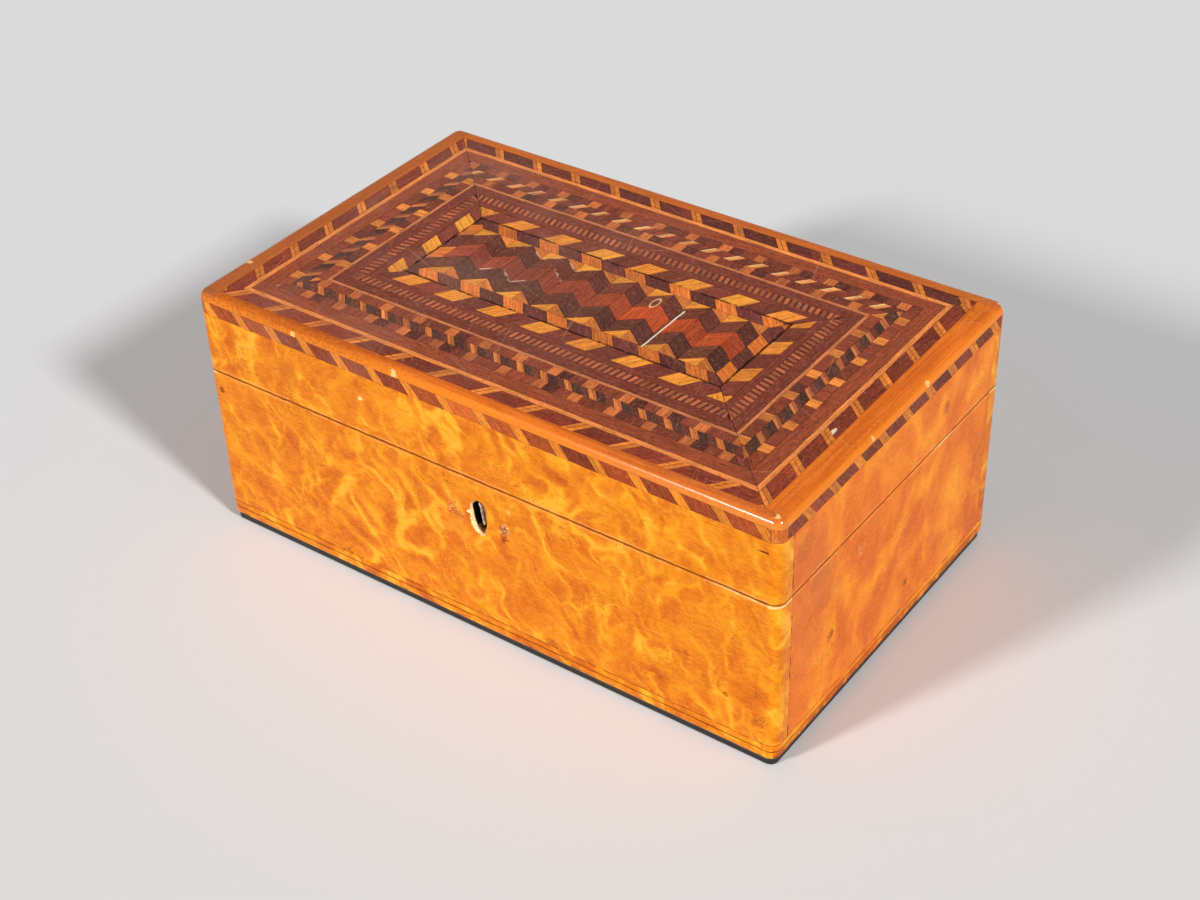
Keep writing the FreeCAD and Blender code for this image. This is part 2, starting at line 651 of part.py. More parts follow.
def side_banding():
    """Slanted pieces round the sides of the lid, with a light quarter-round post at each corner."""
    tiles = {"side_light": [], "side_dark": []}
    places = {
        "front": (HALF_L, lambda u, z: (u, -HALF_W, z), (0, VENEER, 0)),
        "back": (HALF_L, lambda u, z: (-u, HALF_W, z), (0, -VENEER, 0)),
        "right": (HALF_W, lambda u, z: (HALF_L, u, z), (-VENEER, 0, 0)),
        "left": (HALF_W, lambda u, z: (-HALF_L, -u, z), (VENEER, 0, 0)),
    }
    for side, (half, place, inwards) in places.items():
        end = half - CORNER_RADIUS
        low, high = SIDE_BAND_BOTTOM, MOULDING_BOTTOM
        window = [(-end, low), (end, low), (end, high), (-end, high)]
        for tone, piece in run_of_pieces(SIDE_SEQUENCE, SIDE_START[side], -end, end, SIDE_LEAN):
            outline = [(u, SIDE_BAND_BOTTOM + across * SIDE_BAND_HEIGHT) for u, across in piece]
            outline = clip(anticlockwise(outline), window)
            outline = shrink(outline, GLUE_LINE / 2) if outline else []
            if outline and area(outline) > SMALLEST_TILE:
                tiles[tone].append(prism([place(u, z) for u, z in outline], inwards))
    form = rounded_block(HALF_L, HALF_W, CORNER_RADIUS, SIDE_BAND_BOTTOM, MOULDING_BOTTOM)
    tiles["side_light"] += [post.common(form) for post in side_band_corners()]
    return tiles


def build_case():
    form = case_form()
    edging = edging_band()
    bottom_radius = CORNER_RADIUS - BOTTOM_INSET
    bottom_half = (HALF_L - BOTTOM_INSET, HALF_W - BOTTOM_INSET)
    save("bottom_board", rounded_block(*bottom_half, bottom_radius, 0, BOTTOM_BOARD))

    walls = frame_boards(BOTTOM_BOARD, PARTING)
    walls["front"] = walls["front"].cut(lock_body()).cut(keyhole(LINER_WALL, -HALF_W, LOCK_FRONT))
    veneers = face_veneers(EDGING_TOP, PARTING)
    chip = prism([(x, -HALF_W, z) for x, z in CHIP_OUTLINE], (0, VENEER, 0))
    veneers["front"] = veneers["front"].cut(chip)
    for middle in HINGE_CENTRES.values():
        walls["back"] = walls["back"].cut(leaf_recess(middle, -1))
        veneers["back"] = veneers["back"].cut(leaf_recess(middle, -1))
    for side in SIDES:
        save(side + "_wall", walls[side].cut(edging).common(form))
        save(side + "_veneer", veneers[side].common(form))
        outer = (HALF_L, HALF_W)
        inner = (HALF_L - EDGING_THICKNESS, HALF_W - EDGING_THICKNESS)
        length = mitred_piece(side, outer, inner, BOTTOM_BOARD, EDGING_TOP)
        save("base_edging_" + side, length.common(edging).common(form))
    strips = corner_blocks(BOARD_END_X, INNER_Y, BOTTOM_BOARD, PARTING)
    strips = [strip.cut(edging).common(form) for strip in strips]
    save("corner_strips", *strips)


def build_lock():
    bolt, waist = lock_bolt()
    save("keyhole_liner", keyhole_liner())
    save("lock_case", lock_case())
    save("lock_cap", lock_cap())
    save("lock_key_pin", lock_key_pin())
    save("lock_bolt", bolt)
    save("lock_spring", lock_spring(waist))
    save("lock_screws", *[screw(x, y, PARTING, 1) for x, y in lock_screw_places()])
    save("strike_plate", strike_plate())
    save("strike_screws", *[screw(x, y, PARTING, -1) for x, y in strike_screw_places()])


def build_hinges():
    lower_screws = []
    upper_screws = []
    for name, middle in HINGE_CENTRES.items():
        save("hinge_" + name + "_lower_leaf", hinge_leaf(middle, -1))
        save("hinge_" + name + "_upper_leaf", hinge_leaf(middle, 1))
        for x, y in leaf_screw_places(middle):
            lower_screws.append(screw(x, y, PARTING, 1))
            upper_screws.append(screw(x, y, PARTING, -1))
    save("hinge_pins", *[hinge_pin(middle) for middle in HINGE_CENTRES.values()])
    save("hinge_lower_screws", *lower_screws)
    save("hinge_upper_screws", *upper_screws)


def panel_block(z0, z1):
    """The room inside the moulding, which sits a little nearer the front than the back."""
    return block(-PANEL[0], PANEL[0], PANEL_SHIFT - PANEL[1], PANEL_SHIFT + PANEL[1], z0, z1)


def build_lid():
    form = lid_form()
    rails = frame_boards(PARTING, BOARD_BOTTOM)
    rails["front"] = rails["front"].cut(strike_bed())
    veneers = face_veneers(PARTING, SIDE_BAND_BOTTOM)
    for middle in HINGE_CENTRES.values():
        rails["back"] = rails["back"].cut(leaf_recess(middle, 1))
        veneers["back"] = veneers["back"].cut(leaf_recess(middle, 1))
    moulding = rounded_block(HALF_L, HALF_W, CORNER_RADIUS, MOULDING_BOTTOM, HEIGHT)
    moulding = moulding.cut(panel_block(MOULDING_BOTTOM, HEIGHT))
    for side in SIDES:
        save("lid_" + side + "_rail", rails[side].common(form))
        save("lid_" + side + "_veneer", veneers[side].common(form))
        length = mitred_piece(side, (HALF_L, HALF_W), PANEL, MOULDING_BOTTOM, HEIGHT, PANEL_SHIFT)
        save("edge_moulding_" + side, length.common(moulding).common(form))
    strips = corner_blocks(BOARD_END_X, INNER_Y, PARTING, BOARD_BOTTOM)
    save("lid_corner_strips", *[strip.common(form) for strip in strips])
    top_board = block(-CORE_X, CORE_X, -CORE_Y, CORE_Y, BOARD_BOTTOM, MOULDING_BOTTOM)
    for corner in side_band_corners():
        top_board = top_board.cut(corner)
    raised = panel_block(MOULDING_BOTTOM, BOARD_TOP)
    save("lid_top_board", top_board.fuse(raised).removeSplitter())
    for tone, pieces in list(lid_parquetry().items()) + list(side_banding().items()):
        save(tone + "_pieces", *pieces)


os.makedirs("parts", exist_ok=True)
build_case()
build_lock()
build_hinges()
build_lid()
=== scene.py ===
import json
import math
import random

import bmesh
import bpy
from mathutils import Matrix, Vector, noise

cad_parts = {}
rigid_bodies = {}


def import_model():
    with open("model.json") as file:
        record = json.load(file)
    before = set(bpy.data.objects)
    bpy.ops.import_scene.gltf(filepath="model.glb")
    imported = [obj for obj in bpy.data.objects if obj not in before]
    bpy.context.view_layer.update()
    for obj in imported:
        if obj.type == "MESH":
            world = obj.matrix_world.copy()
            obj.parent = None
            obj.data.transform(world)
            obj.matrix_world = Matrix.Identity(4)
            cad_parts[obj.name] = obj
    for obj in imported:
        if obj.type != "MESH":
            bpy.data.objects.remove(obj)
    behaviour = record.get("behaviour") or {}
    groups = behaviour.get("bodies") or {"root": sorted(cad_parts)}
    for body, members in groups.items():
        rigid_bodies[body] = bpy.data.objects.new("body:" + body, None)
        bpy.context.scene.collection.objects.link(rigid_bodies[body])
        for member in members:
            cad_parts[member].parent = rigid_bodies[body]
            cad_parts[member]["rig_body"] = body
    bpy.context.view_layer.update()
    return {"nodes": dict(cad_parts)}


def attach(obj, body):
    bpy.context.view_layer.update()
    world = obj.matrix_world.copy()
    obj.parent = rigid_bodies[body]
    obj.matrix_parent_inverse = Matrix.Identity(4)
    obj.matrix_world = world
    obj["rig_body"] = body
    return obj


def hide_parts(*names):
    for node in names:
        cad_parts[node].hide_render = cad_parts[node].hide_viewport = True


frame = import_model()
nodes = frame["nodes"]

# Veneers on the front, back and ends of the case and the lid.
# Figured satinwood sawn a millimetre thick, glued to the boards and french polished; the lid was
# cut off after veneering, so the figure runs on across the parting line.


class Shader:
    """Adds nodes to a tree. Every method returns the socket that the next one takes."""

    def __init__(self, tree):
        self.tree = tree

    def node(self, kind, values=(), out=0, **settings):
        made = self.tree.nodes.new("ShaderNode" + kind)
        for name, value in settings.items():
            setattr(made, name, value)
        pairs = values.items() if isinstance(values, dict) else enumerate(values)
        for key, value in pairs:
            if isinstance(value, bpy.types.NodeSocket):
                self.tree.links.new(value, made.inputs[key])
            else:
                made.inputs[key].default_value = value
        return made.outputs[out]

    def math(self, operation, *values, clamp=False):
        return self.node("Math", values, operation=operation, use_clamp=clamp)

    def times(self, first, second, *plus):
        """First times second, and plus a third value where there is one."""
        return self.math("MULTIPLY_ADD" if plus else "MULTIPLY", first, second, *plus)

    def most(self, first, second):
        """The larger value, or the second where there is no first yet."""
        return second if first is None else self.math("MAXIMUM", first, second)

    def vector(self, operation, *values):
        return self.node("VectorMath", values, operation=operation)

    def split(self, vector):
        return self.node("SeparateXYZ", [vector]).node.outputs

    def noise(self, place, scale, detail=2.0, rough=0.5, out=0):
        values = {"Vector": place, "Scale": scale, "Detail": detail, "Roughness": rough}
        return self.node("TexNoise", values, out)

    def streaks(self, place, stretch, detail=2.0, rough=0.5):
        """Noise with its own number of features in a millimetre along each axis."""
        return self.noise(self.vector("MULTIPLY", place, stretch), 1, detail, rough)

    def step(self, value, low, high, bottom=0.0, top=1.0):
        values = [value, low, high, bottom, top]
        return self.node("MapRange", values, interpolation_type="SMOOTHSTEP")

    def mix(self, factor, first, second, blend="MIX"):
        values = {0: factor, 6: first, 7: second}
        return self.node("Mix", values, 2, data_type="RGBA", blend_type=blend)

    def ramp(self, factor, *stops):
        made = self.node("ValToRGB", [factor]).node
        points = made.color_ramp.elements
        while len(points) < len(stops):
            points.new(0.5)
        for point, (position, *shade) in zip(points, stops):
            point.position, point.color = position, seen(*shade)
        return made.outputs[0]

    def group(self, tree, **values):
        return self.node("Group", values, node_tree=tree).node.outputs

    def here(self):
        """The place in the box's own frame, in millimetres."""
        return self.vector("MULTIPLY", self.node("TexCoord", out=3), (1000, 1000, 1000))

    def stored(self, name, out=1):
        return self.node("Attribute", out=out, attribute_name=name)


def seen(red, green, blue):
    """A colour as it looks, 0 to 255, as linear light."""
    parts = [c / 255 for c in (red, green, blue)]
    return tuple(((p + 0.055) / 1.055) ** 2.4 if p > 0.04 else p / 12.92 for p in parts) + (1,)


def new_group(name, takes, gives):
    tree = bpy.data.node_groups.new(name, "ShaderNodeTree")
    for label, kind in takes.items():
        tree.interface.new_socket(label, in_out="INPUT", socket_type="NodeSocket" + kind)
    for label in gives:
        tree.interface.new_socket(label, in_out="OUTPUT", socket_type="NodeSocketFloat")
    return Shader(tree), tree.nodes.new("NodeGroupInput").outputs, tree.nodes.new("NodeGroupOutput").inputs


def new_material(name, **fixed):
    material = bpy.data.materials.new(name)
    material.use_nodes = True
    surface = material.node_tree.nodes["Principled BSDF"]
    for socket, value in fixed.items():
        surface.inputs[socket.replace("_", " ")].default_value = value
    return material, Shader(material.node_tree), surface.inputs


def connect(s, sockets, **links):
    for name, value in links.items():
        s.tree.links.new(value, sockets[name.replace("_", " ")])


def bump(s, height, strength, distance):
    return s.node("Bump", {"Height": height, "Strength": strength, "Distance": distance})


# Curled figure: a bent network of soft bright lines round redder hollows, as light falls on wavy grain
takes = {"Place": "Vector", "Size": "Float", "Vein": "Float", "Cloud": "Float"}
s, given, gives = new_group("curl", takes, ("Fold", "Fibre", "Lift"))
sized = s.vector("DIVIDE", given["Place"], s.node("CombineXYZ", [given["Size"]] * 3))
wide = s.vector("SUBTRACT", s.noise(sized, 0.035, 1, out=1), (0.5, 0.5, 0.5))
small = s.vector("SUBTRACT", s.noise(sized, 0.12, 1, out=1), (0.5, 0.5, 0.5))
bent = s.vector("MULTIPLY_ADD", small, (7, 7, 7), s.vector("MULTIPLY_ADD", wide, (30, 30, 30), sized))
turned = s.node("VectorRotate", {"Vector": bent, "Angle": -0.5}, rotation_type="Z_AXIS")
VEINS = ((0.058, 0.5, 0.45, 0), (0.105, 0.55, 0.30, 71), (0.21, 0.6, 0.09, 140))
veins = 0.0
for scale, stretch, weight, shift in VEINS:
    placed = s.vector("MULTIPLY_ADD", turned, (1, stretch, 1), (shift, shift, shift))
    edge = s.node("TexVoronoi", {"Vector": placed, "Scale": scale}, feature="DISTANCE_TO_EDGE")
    broken = s.step(s.noise(placed, scale * 0.8, 2), 0.42, 0.66)
    bright = s.times(s.step(edge, 0.16, 0), broken)
    hollow = s.times(s.step(edge, 0.04, 0.42), s.step(s.noise(placed, scale * 0.75, 1), 0.40, 0.66))
    veins = s.times(s.times(hollow, -0.85, bright), weight, veins)
cloud = s.math("SUBTRACT", s.noise(turned, 0.075, 3), 0.5)
fold = s.times(cloud, given["Cloud"], s.times(veins, given["Vein"], 0.54))
fibre = s.streaks(given["Place"], (0.9, 2.6, 3), 3, 0.65)
slanted = s.node("VectorRotate", {"Vector": given["Place"], "Angle": 0.7}, rotation_type="Z_AXIS")
lift = s.streaks(slanted, (0.9, 2.4, 1), 2, 0.6)
connect(s, gives, Fold=fold, Fibre=fibre, Lift=lift)
curl = s.tree

# Handling: thin scratches, patches of grime, and a surface that is no longer quite flat
s, given, gives = new_group("handling", {"Place": "Vector"}, ("Scratch", "Grime", "Height"))
scratch = None
for angle, stretch in ((0.35, 1.1), (1.25, 1.4), (2.6, 0.9)):
    turned = s.node("VectorRotate", {"Vector": given["Place"], "Angle": angle}, rotation_type="Z_AXIS")
    thin = s.streaks(turned, (0.025, stretch, stretch), 1)
    line = s.step(thin, 0.73, 0.80)
    scratch = s.most(scratch, line)
grime = s.times(s.step(s.noise(given["Place"], 0.06, 3), 0.5, 0.75),
                s.step(s.noise(given["Place"], 0.9, 3, 0.65), 0.42, 0.7))
height = s.times(scratch, -0.3, s.noise(given["Place"], 0.12, 2))
connect(s, gives, Scratch=scratch, Grime=grime, Height=height)
handling = s.tree

# Seam: a line where a value is reached, such as a joint, a worn edge or a lip given a painted highlight,
# broken here and there
takes = {"Value": "Float", "At": "Float", "Width": "Float", "Gate": "Float", "Place": "Vector"}
s, given, gives = new_group("seam", takes, ("Mask",))
wobble = s.times(s.math("SUBTRACT", s.noise(given["Place"], 0.25, 2), 0.5), given["Width"])
off = s.math("ABSOLUTE", s.math("ADD", s.math("SUBTRACT", given["Value"], given["At"]), wobble))
line = s.step(off, given["Width"], 0)
gate = s.step(s.noise(given["Place"], 0.16, 3, 0.65), given["Gate"], s.math("ADD", given["Gate"], 0.12))
connect(s, gives, Mask=s.times(line, gate))
seam = s.tree

# Mark: an irregular spot round one place, for chips, knocks and stains, and two chipped lips with a painted
# highlight
s, given, gives = new_group("mark", {"Place": "Vector", "At": "Vector", "Radii": "Vector"}, ("Mask",))
away = s.vector("DIVIDE", s.vector("SUBTRACT", given["Place"], given["At"]), given["Radii"])
far = s.node("VectorMath", [away], 1, operation="LENGTH")
rough = s.math("SUBTRACT", s.noise(s.vector("ADD", away, given["At"]), 1.2, 3, 0.65), 0.5)
connect(s, gives, Mask=s.step(s.times(rough, 2.2, far), 1, 0.45))
mark = s.tree


def satinwood(name, look, stops, seams, marks=()):
    """Polished satinwood. Look is the size, vein, cloud and stretch of its figure. Seams are lines where an
    axis has one value: 0 to 2 are x, y and z without sign, 3 is round the upright corners, 4 is y with its
    sign. Marks are scarred places with a dark and a light tone; two are chipped lips with a painted
    highlight."""
    material, s, surface = new_material(name, Coat_Roughness=0.16, Specular_IOR_Level=0.1)
    size, vein, cloud, stretch = look
    plank = s.stored("plank")
    here = s.here()
    axes = [s.math("ABSOLUTE", v) for v in s.split(here)]
    axes.append(s.math("ADD", axes[0], axes[1]))
    axes.append(s.split(here)[1])
    placed = s.vector("MULTIPLY", plank, (1, stretch, 1))
    figure = s.group(curl, Place=placed, Size=size, Vein=vein, Cloud=cloud)
    wear = s.group(handling, Place=here)
    wood = s.ramp(figure["Fold"], *stops)
    wood = s.mix(s.step(figure["Fibre"], 0.5, 0.8, 0, 0.55), wood, seen(186, 86, 18))
    wood = s.mix(s.step(figure["Lift"], 0.5, 0.8, 0, 0.4), wood, seen(255, 180, 62))
    grain = s.streaks(plank, (0.3, 1.3, 1.3), 4, 0.65)
    wood = s.mix(s.step(grain, 0.5, 0.72, 0, 0.4), wood, seen(196, 86, 10))
    wood = s.mix(s.step(grain, 0.5, 0.3, 0, 0.3), wood, seen(255, 172, 52))
    flecks = s.streaks(plank, (0.8, 2.1, 2.1), 2)
    flecks = s.times(s.noise(here, 0.055, 2), 0.6, flecks)
    wood = s.mix(s.step(flecks, 0.99, 1.07, 0, 0.6), wood, seen(150, 58, 8))
    wood = s.mix(s.times(wear["Grime"], 0.35), wood, seen(132, 60, 22))
    wood = s.mix(s.times(wear["Scratch"], 0.2), wood, seen(255, 206, 128))
    scar = s.streaks(here, (0.9, 0.9, 1.7), 3, 0.7)
    scarred = None
    for place, radii, dark, light, strength in marks:
        radii = radii if isinstance(radii, tuple) else (radii,) * 3
        mask = s.times(s.group(mark, Place=here, At=place, Radii=radii)["Mask"], strength)
        wood = s.mix(mask, wood, s.mix(s.step(scar, 0.44, 0.58), seen(*dark), seen(*light)))
        scarred = s.most(scarred, mask)
    groove = None
    for axis, place, width, gate, shade in seams:
        line = s.group(seam, Value=axes[axis], At=place, Width=width, Gate=gate, Place=here)["Mask"]
        wood = s.mix(s.times(line, 0.9), wood, seen(*shade))
        if sum(shade) < 300:
            groove = s.most(groove, line)
    dull = s.math("ADD", s.times(wear["Grime"], 0.22), s.times(groove, 0.3))
    height = s.times(groove, -0.8, wear["Height"])
    height = s.times(figure["Fibre"], -0.2, height)
    if scarred is not None:
        height = s.times(s.times(scarred, scar), -0.12, height)
    connect(s, surface, Base_Color=wood, Roughness=s.math("ADD", dull, 0.3),
            Coat_Weight=s.math("SUBTRACT", 0.06, dull, clamp=True), Normal=bump(s, height, 0.3, 0.0003))
    return material


def ease_edges(bm, edges, offset, segments=1):
    return bmesh.ops.bevel(bm, geom=edges, offset=offset, offset_type="OFFSET", segments=segments,
                           profile=0.5, affect="EDGES", clamp_overlap=True, material=-1)


def shell(node, ease, segments=1, opens=None):
    """A clean copy of a solid, with its edges eased, or only those that open."""
    bm = bmesh.new()
    bm.from_mesh(nodes[node].data)
    bmesh.ops.remove_doubles(bm, verts=bm.verts, dist=1e-6)
    bmesh.ops.dissolve_limit(bm, angle_limit=math.radians(1), verts=bm.verts, edges=bm.edges)
    if ease:
        sharp = [e for e in bm.edges if len(e.link_faces) == 2 and e.calc_face_angle() > math.radians(35)]
        if opens:
            sharp = [e for e in sharp if opens(e)]
        ease_edges(bm, sharp, ease, segments)
    return bm


def add(name, data):
    made = bpy.data.objects.new(name, data)
    bpy.context.scene.collection.objects.link(made)
    return made


def add_mesh(bm, name, material):
    mesh = bpy.data.meshes.new(name)
    bm.to_mesh(mesh)
    bm.free()
    mesh.materials.append(material)
    return add(name, mesh)


def stand_in(bm, material, *stands_for):
    """Turns a finished mesh into the piece that is shown for these solids."""
    node = stands_for[0]
    bm.normal_update()
    for f in bm.faces:
        f.smooth = True
    for e in bm.edges:
        e.smooth = e.calc_face_angle(0) < math.radians(35)
    piece = add_mesh(bm, node + "_shown", material)
    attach(piece, nodes[node]["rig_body"])
    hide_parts(*stands_for)
    return piece


def set_plank(bm, along, across, offset=0.0):
    """Gives every point its place in the plank it was cut from: along the grain, across, through."""
    layer = bm.verts.layers.float_vector.new("plank")
    through = along.cross(across)
    for v in bm.verts:
        place = Vector((v.co.dot(along), v.co.dot(across), v.co.dot(through))) * 1000
        v[layer] = place + Vector((offset, offset, offset))


def on_end(edge):
    """Whether an edge lies flat, or upright on a short side; the upright joints in front stay closed."""
    first, second = (v.co for v in edge.verts)
    return abs(first.z - second.z) < 0.001 or abs(first.x) > AT_END


X, Y, Z = Vector((1, 0, 0)), Vector((0, 1, 0)), Vector((0, 0, 1))
SIDES = (("front", X), ("back", X), ("left", Y), ("right", Y))
VENEER_EASE, AT_END = 0.00014, 0.1265
CURLED, CLOUDY = (0.82, 0.95, 0.9, 1), (1.15, 0.24, 1.75, 0.7)
FRONT_TONES = ((0.1, 196, 86, 6), (0.36, 215, 108, 6), (0.56, 230, 129, 8), (0.76, 243, 152, 16),
               (1, 252, 178, 42))
END_TONES = (0.2, 218, 96, 10), (0.5, 238, 117, 10), (0.68, 248, 136, 12), (0.9, 255, 158, 24)
# Pale lines by the parting line are painted highlights on its lips; the palest tone is also real wear on
# edges and corners.
DIRT, WEAR_AND_HIGHLIGHT, LIP_HIGHLIGHT = (76, 12, 2), (255, 212, 138), (246, 156, 70)
CORNER_SEAM = (4, -69.5, 0.7, 0.46, (96, 34, 10))
FRONT_SEAMS = ((2, 71.4, 0.7, 0.38, LIP_HIGHLIGHT), (2, 73.3, 0.6, 0.4, LIP_HIGHLIGHT), (2, 72.4, 0.62, 0.1, DIRT),
               (2, 97.8, 0.2, 0.5, DIRT), (2, 10, 0.35, 0.38, DIRT))
END_SEAMS = ((2, 71.3, 0.7, 0.42, LIP_HIGHLIGHT), (2, 73.5, 0.5, 0.45, LIP_HIGHLIGHT), (2, 72.4, 0.6, 0.3, (120, 38, 8)),
             CORNER_SEAM, (2, 97.8, 0.2, 0.5, DIRT), (2, 10, 0.4, 0.46, DIRT))
FRONT_FACE, END_FACE = -77.5, 127
FRONT_MARKS = [((x, FRONT_FACE, z), *look) for x, z, *look in (
    (-8, 54.2, 4.6, (176, 66, 8), (252, 164, 80), 0.8),
    (-9.5, 58.6, 2.6, (196, 92, 24), (250, 160, 70), 0.6),
    (14.4, 55, 3.2, (146, 46, 8), (254, 200, 138), 0.9),
    (14.2, 51.2, 2.6, (138, 36, 6), (226, 104, 36), 0.85),
    (-9, 46.5, 9, (214, 98, 18), (226, 112, 22), 0.5),
    (16.6, 64, 1.5, (250, 178, 70), (252, 200, 110), 0.7),
    (-48.6, 87.6, 1.3, (255, 214, 120), (255, 232, 170), 0.9),
    (-86, 86, 9, (196, 98, 14), (214, 112, 14), 0.6),
    (-121.6, 64, 1.9, (86, 26, 4), (214, 110, 20), 0.9),
    (-125, 15.5, 2.6, (48, 20, 10), (196, 104, 40), 0.9),
    (91, 35.8, 1.7, (148, 50, 6), (214, 104, 16), 0.8),
    (107, 25.4, 1.4, (128, 44, 6), (220, 110, 16), 0.8),
    (121.5, 93.2, (3.4, 2, 0.6), (84, 22, 10), (110, 34, 14), 0.95),
    # A pale streak under the parting line: a chipped lip, with a painted highlight.
    (113, 71.6, (16, 2, 0.8), (248, 180, 80), (255, 220, 150), 0.9),
    (119, 30, 3, (150, 70, 16), (236, 132, 24), 0.7),
    (121, 20, 3, (140, 62, 16), (240, 140, 30), 0.7),
    (33, 10.8, 3.4, (150, 66, 18), (222, 112, 24), 0.7),
    (-64, 10.2, 3, (128, 54, 16), (230, 124, 28), 0.7))]
END_MARKS = [((END_FACE, y, z), *look) for y, z, *look in (
    (-51, 67, (9, 9, 6), (158, 66, 36), (176, 78, 40), 0.3),
    (-49, 64, (15, 17, 13), (176, 78, 36), (194, 88, 36), 0.32),
    (-64, 70, (6, 20, 44), (206, 98, 40), (216, 106, 44), 0.45),
    # A pale lip under the parting line: chipped, with a painted highlight.
    (32, 71.7, (3, 9, 0.9), (255, 190, 100), (255, 228, 160), 1),
    (-62, 88, 6, (176, 82, 20), (214, 104, 22), 0.5),
    (11.5, 21.6, 1.9, (92, 24, 4), (224, 106, 20), 0.9),
    (-42.5, 36, 2.8, (138, 44, 6), (228, 112, 20), 0.8),
    (34, 85.5, 3.4, (148, 50, 8), (216, 98, 16), 0.7),
    (-24, 60.5, 3, (216, 104, 30), (250, 170, 92), 0.6),
    (8, 9.5, 2.2, (60, 24, 14), (236, 190, 140), 0.9),
    (66, 46, 6, (180, 84, 20), (232, 128, 24), 0.5))]
front_wood = satinwood("satinwood_front", CURLED, FRONT_TONES, FRONT_SEAMS, FRONT_MARKS)
end_wood = satinwood("satinwood_end", CLOUDY, END_TONES, END_SEAMS, END_MARKS)
for part in ("", "lid_"):
    for side, material, along, offset in (("front", front_wood, X, 0), ("back", front_wood, X, 600),
                                          ("left", end_wood, Y, 300), ("right", end_wood, Y, 150)):
        bm = shell(part + side + "_veneer", VENEER_EASE, opens=on_end)
        set_plank(bm, along, Z, offset)
        stand_in(bm, material, part + side + "_veneer")

# Strips that close the four corners of the case and the lid.
# Solid satinwood let in beside the veneers and planed round after gluing, so close in front that the
# figure seems to run on; on the ends the seams have opened here and there and hold dirt.
# The pale line at the parting is a painted highlight on the lip; the pale line round the corner is wear.
STRIP_SEAMS = ((3, 202.1, 0.8, 0.6, (255, 186, 92)), (2, 71.5, 0.8, 0.3, WEAR_AND_HIGHLIGHT), (2, 72.45, 0.5, 0.2, DIRT),
               CORNER_SEAM)
strip_wood = satinwood("satinwood_strip", CURLED, FRONT_TONES, STRIP_SEAMS, FRONT_MARKS[13:])
for node in ("corner_strips", "lid_corner_strips"):
    bm = shell(node, VENEER_EASE, opens=on_end)
    set_plank(bm, X, Z)
    grain = bm.verts.layers.float_vector["plank"]
    for v in bm.verts:
        if v.co.y > 0:
            v[grain] += Vector((600, 600, 600))
    stand_in(bm, strip_wood, node)

# Edging round the foot of the case: four mitred lengths with a scribed line and a rounded lower edge.
# Satinwood like the faces, glued into a rebate in the walls and flush with the veneer.
SCRIBED_AT, SCRIBED_HALF, SCRIBED_DEPTH, EDGING_EASE = 0.0072, 0.0002, 0.00025, 0.00045
EDGING_OUT = (0.1225, 0.073)
EDGING_LINES = ((2, 7.2, 0.4, 0.25, DIRT), (2, 10, 0.35, 0.38, DIRT))
edging_wood = satinwood("satinwood_edging", CURLED, FRONT_TONES, EDGING_LINES + (
    (2, 4.6, 0.5, 0.55, DIRT), (2, 3.2, 1.4, 0.5, WEAR_AND_HIGHLIGHT), (3, 202.1, 1.6, 0.5, WEAR_AND_HIGHLIGHT)))
worn_edging = satinwood("satinwood_end_edging", CLOUDY, END_TONES, EDGING_LINES + (
    (2, 4.2, 4.4, 0.38, (158, 76, 38)), (2, 2.8, 1.2, 0.56, WEAR_AND_HIGHLIGHT)))
for side, along in SIDES:
    bm = shell("base_edging_" + side, EDGING_EASE, 3)
    for level in (SCRIBED_AT - SCRIBED_HALF, SCRIBED_AT, SCRIBED_AT + SCRIBED_HALF):
        bmesh.ops.bisect_plane(bm, geom=bm.verts[:] + bm.edges[:] + bm.faces[:], dist=1e-7,
                               plane_co=(0, 0, level), plane_no=(0, 0, 1))
    bm.normal_update()
    for v in bm.verts:
        outer = abs(v.co.x) > EDGING_OUT[0] or abs(v.co.y) > EDGING_OUT[1]
        if abs(v.co.z - SCRIBED_AT) < 1e-6 and outer:
            inwards = Vector((v.normal.x, v.normal.y, 0))
            v.co -= inwards * SCRIBED_DEPTH
    set_plank(bm, along, Z, 1200)
    stand_in(bm, edging_wood if along is X else worn_edging, "base_edging_" + side)

# Moulding round the top of the lid: four mitred lengths, flat on top and rounded over outside.
# Straight-grained satinwood glued into a rebate, rubbed glossy by hands and knocked in places.
TOP, ROUND, FOOT, CORNER = 0.107, 0.0034, 0.1033, 0.004
OUTER, PANEL, PANEL_SHIFT = (0.127, 0.0775), (0.1182, 0.0719), -0.0014
FLAT_STEPS, ROUND_STEPS, ARC_STEPS, STATION = 3, 9, 8, 0.0006
WEAR_DEPTH, MITRE_SINK, CHIP_BARE = 0.00007, 0.00006, 0.0002
CHIPS = ((-0.0310, -0.0768, 0.1044, 0.0016, 0.0004), (-0.0785, -0.0772, 0.1040, 0.0012, 0.0003),
         (0.1235, -0.0745, 0.1058, 0.0014, 0.0003),
         (0.1262, -0.0200, 0.1046, 0.0011, 0.0003), (0.1262, 0.0178, 0.1047, 0.0014, 0.0003),
         (0.1252, 0.0757, 0.1052, 0.0022, 0.0004), (-0.1240, -0.0520, 0.1066, 0.0015, 0.0003),
         (0.063, 0.0770, 0.1050, 0.0016, 0.0004), (0.0755, 0.0772, 0.1047, 0.0030, 0.0003),
         (-0.1262, 0.030, 0.1048, 0.0018, 0.0004))
moulding_wood, s, surface = new_material("satinwood_moulding", Coat_Roughness=0.16, Specular_IOR_Level=0.05)
plank = s.stored("plank")
wear = s.group(handling, Place=s.here())
streak = s.streaks(plank, (0.03, 0.9, 0.9), 4, 0.6)
wood = s.ramp(streak, (0.3, 206, 95, 28), (0.5, 226, 112, 34), (0.7, 244, 130, 42))
fine = s.streaks(plank, (0.6, 2.6, 2.6), 3)
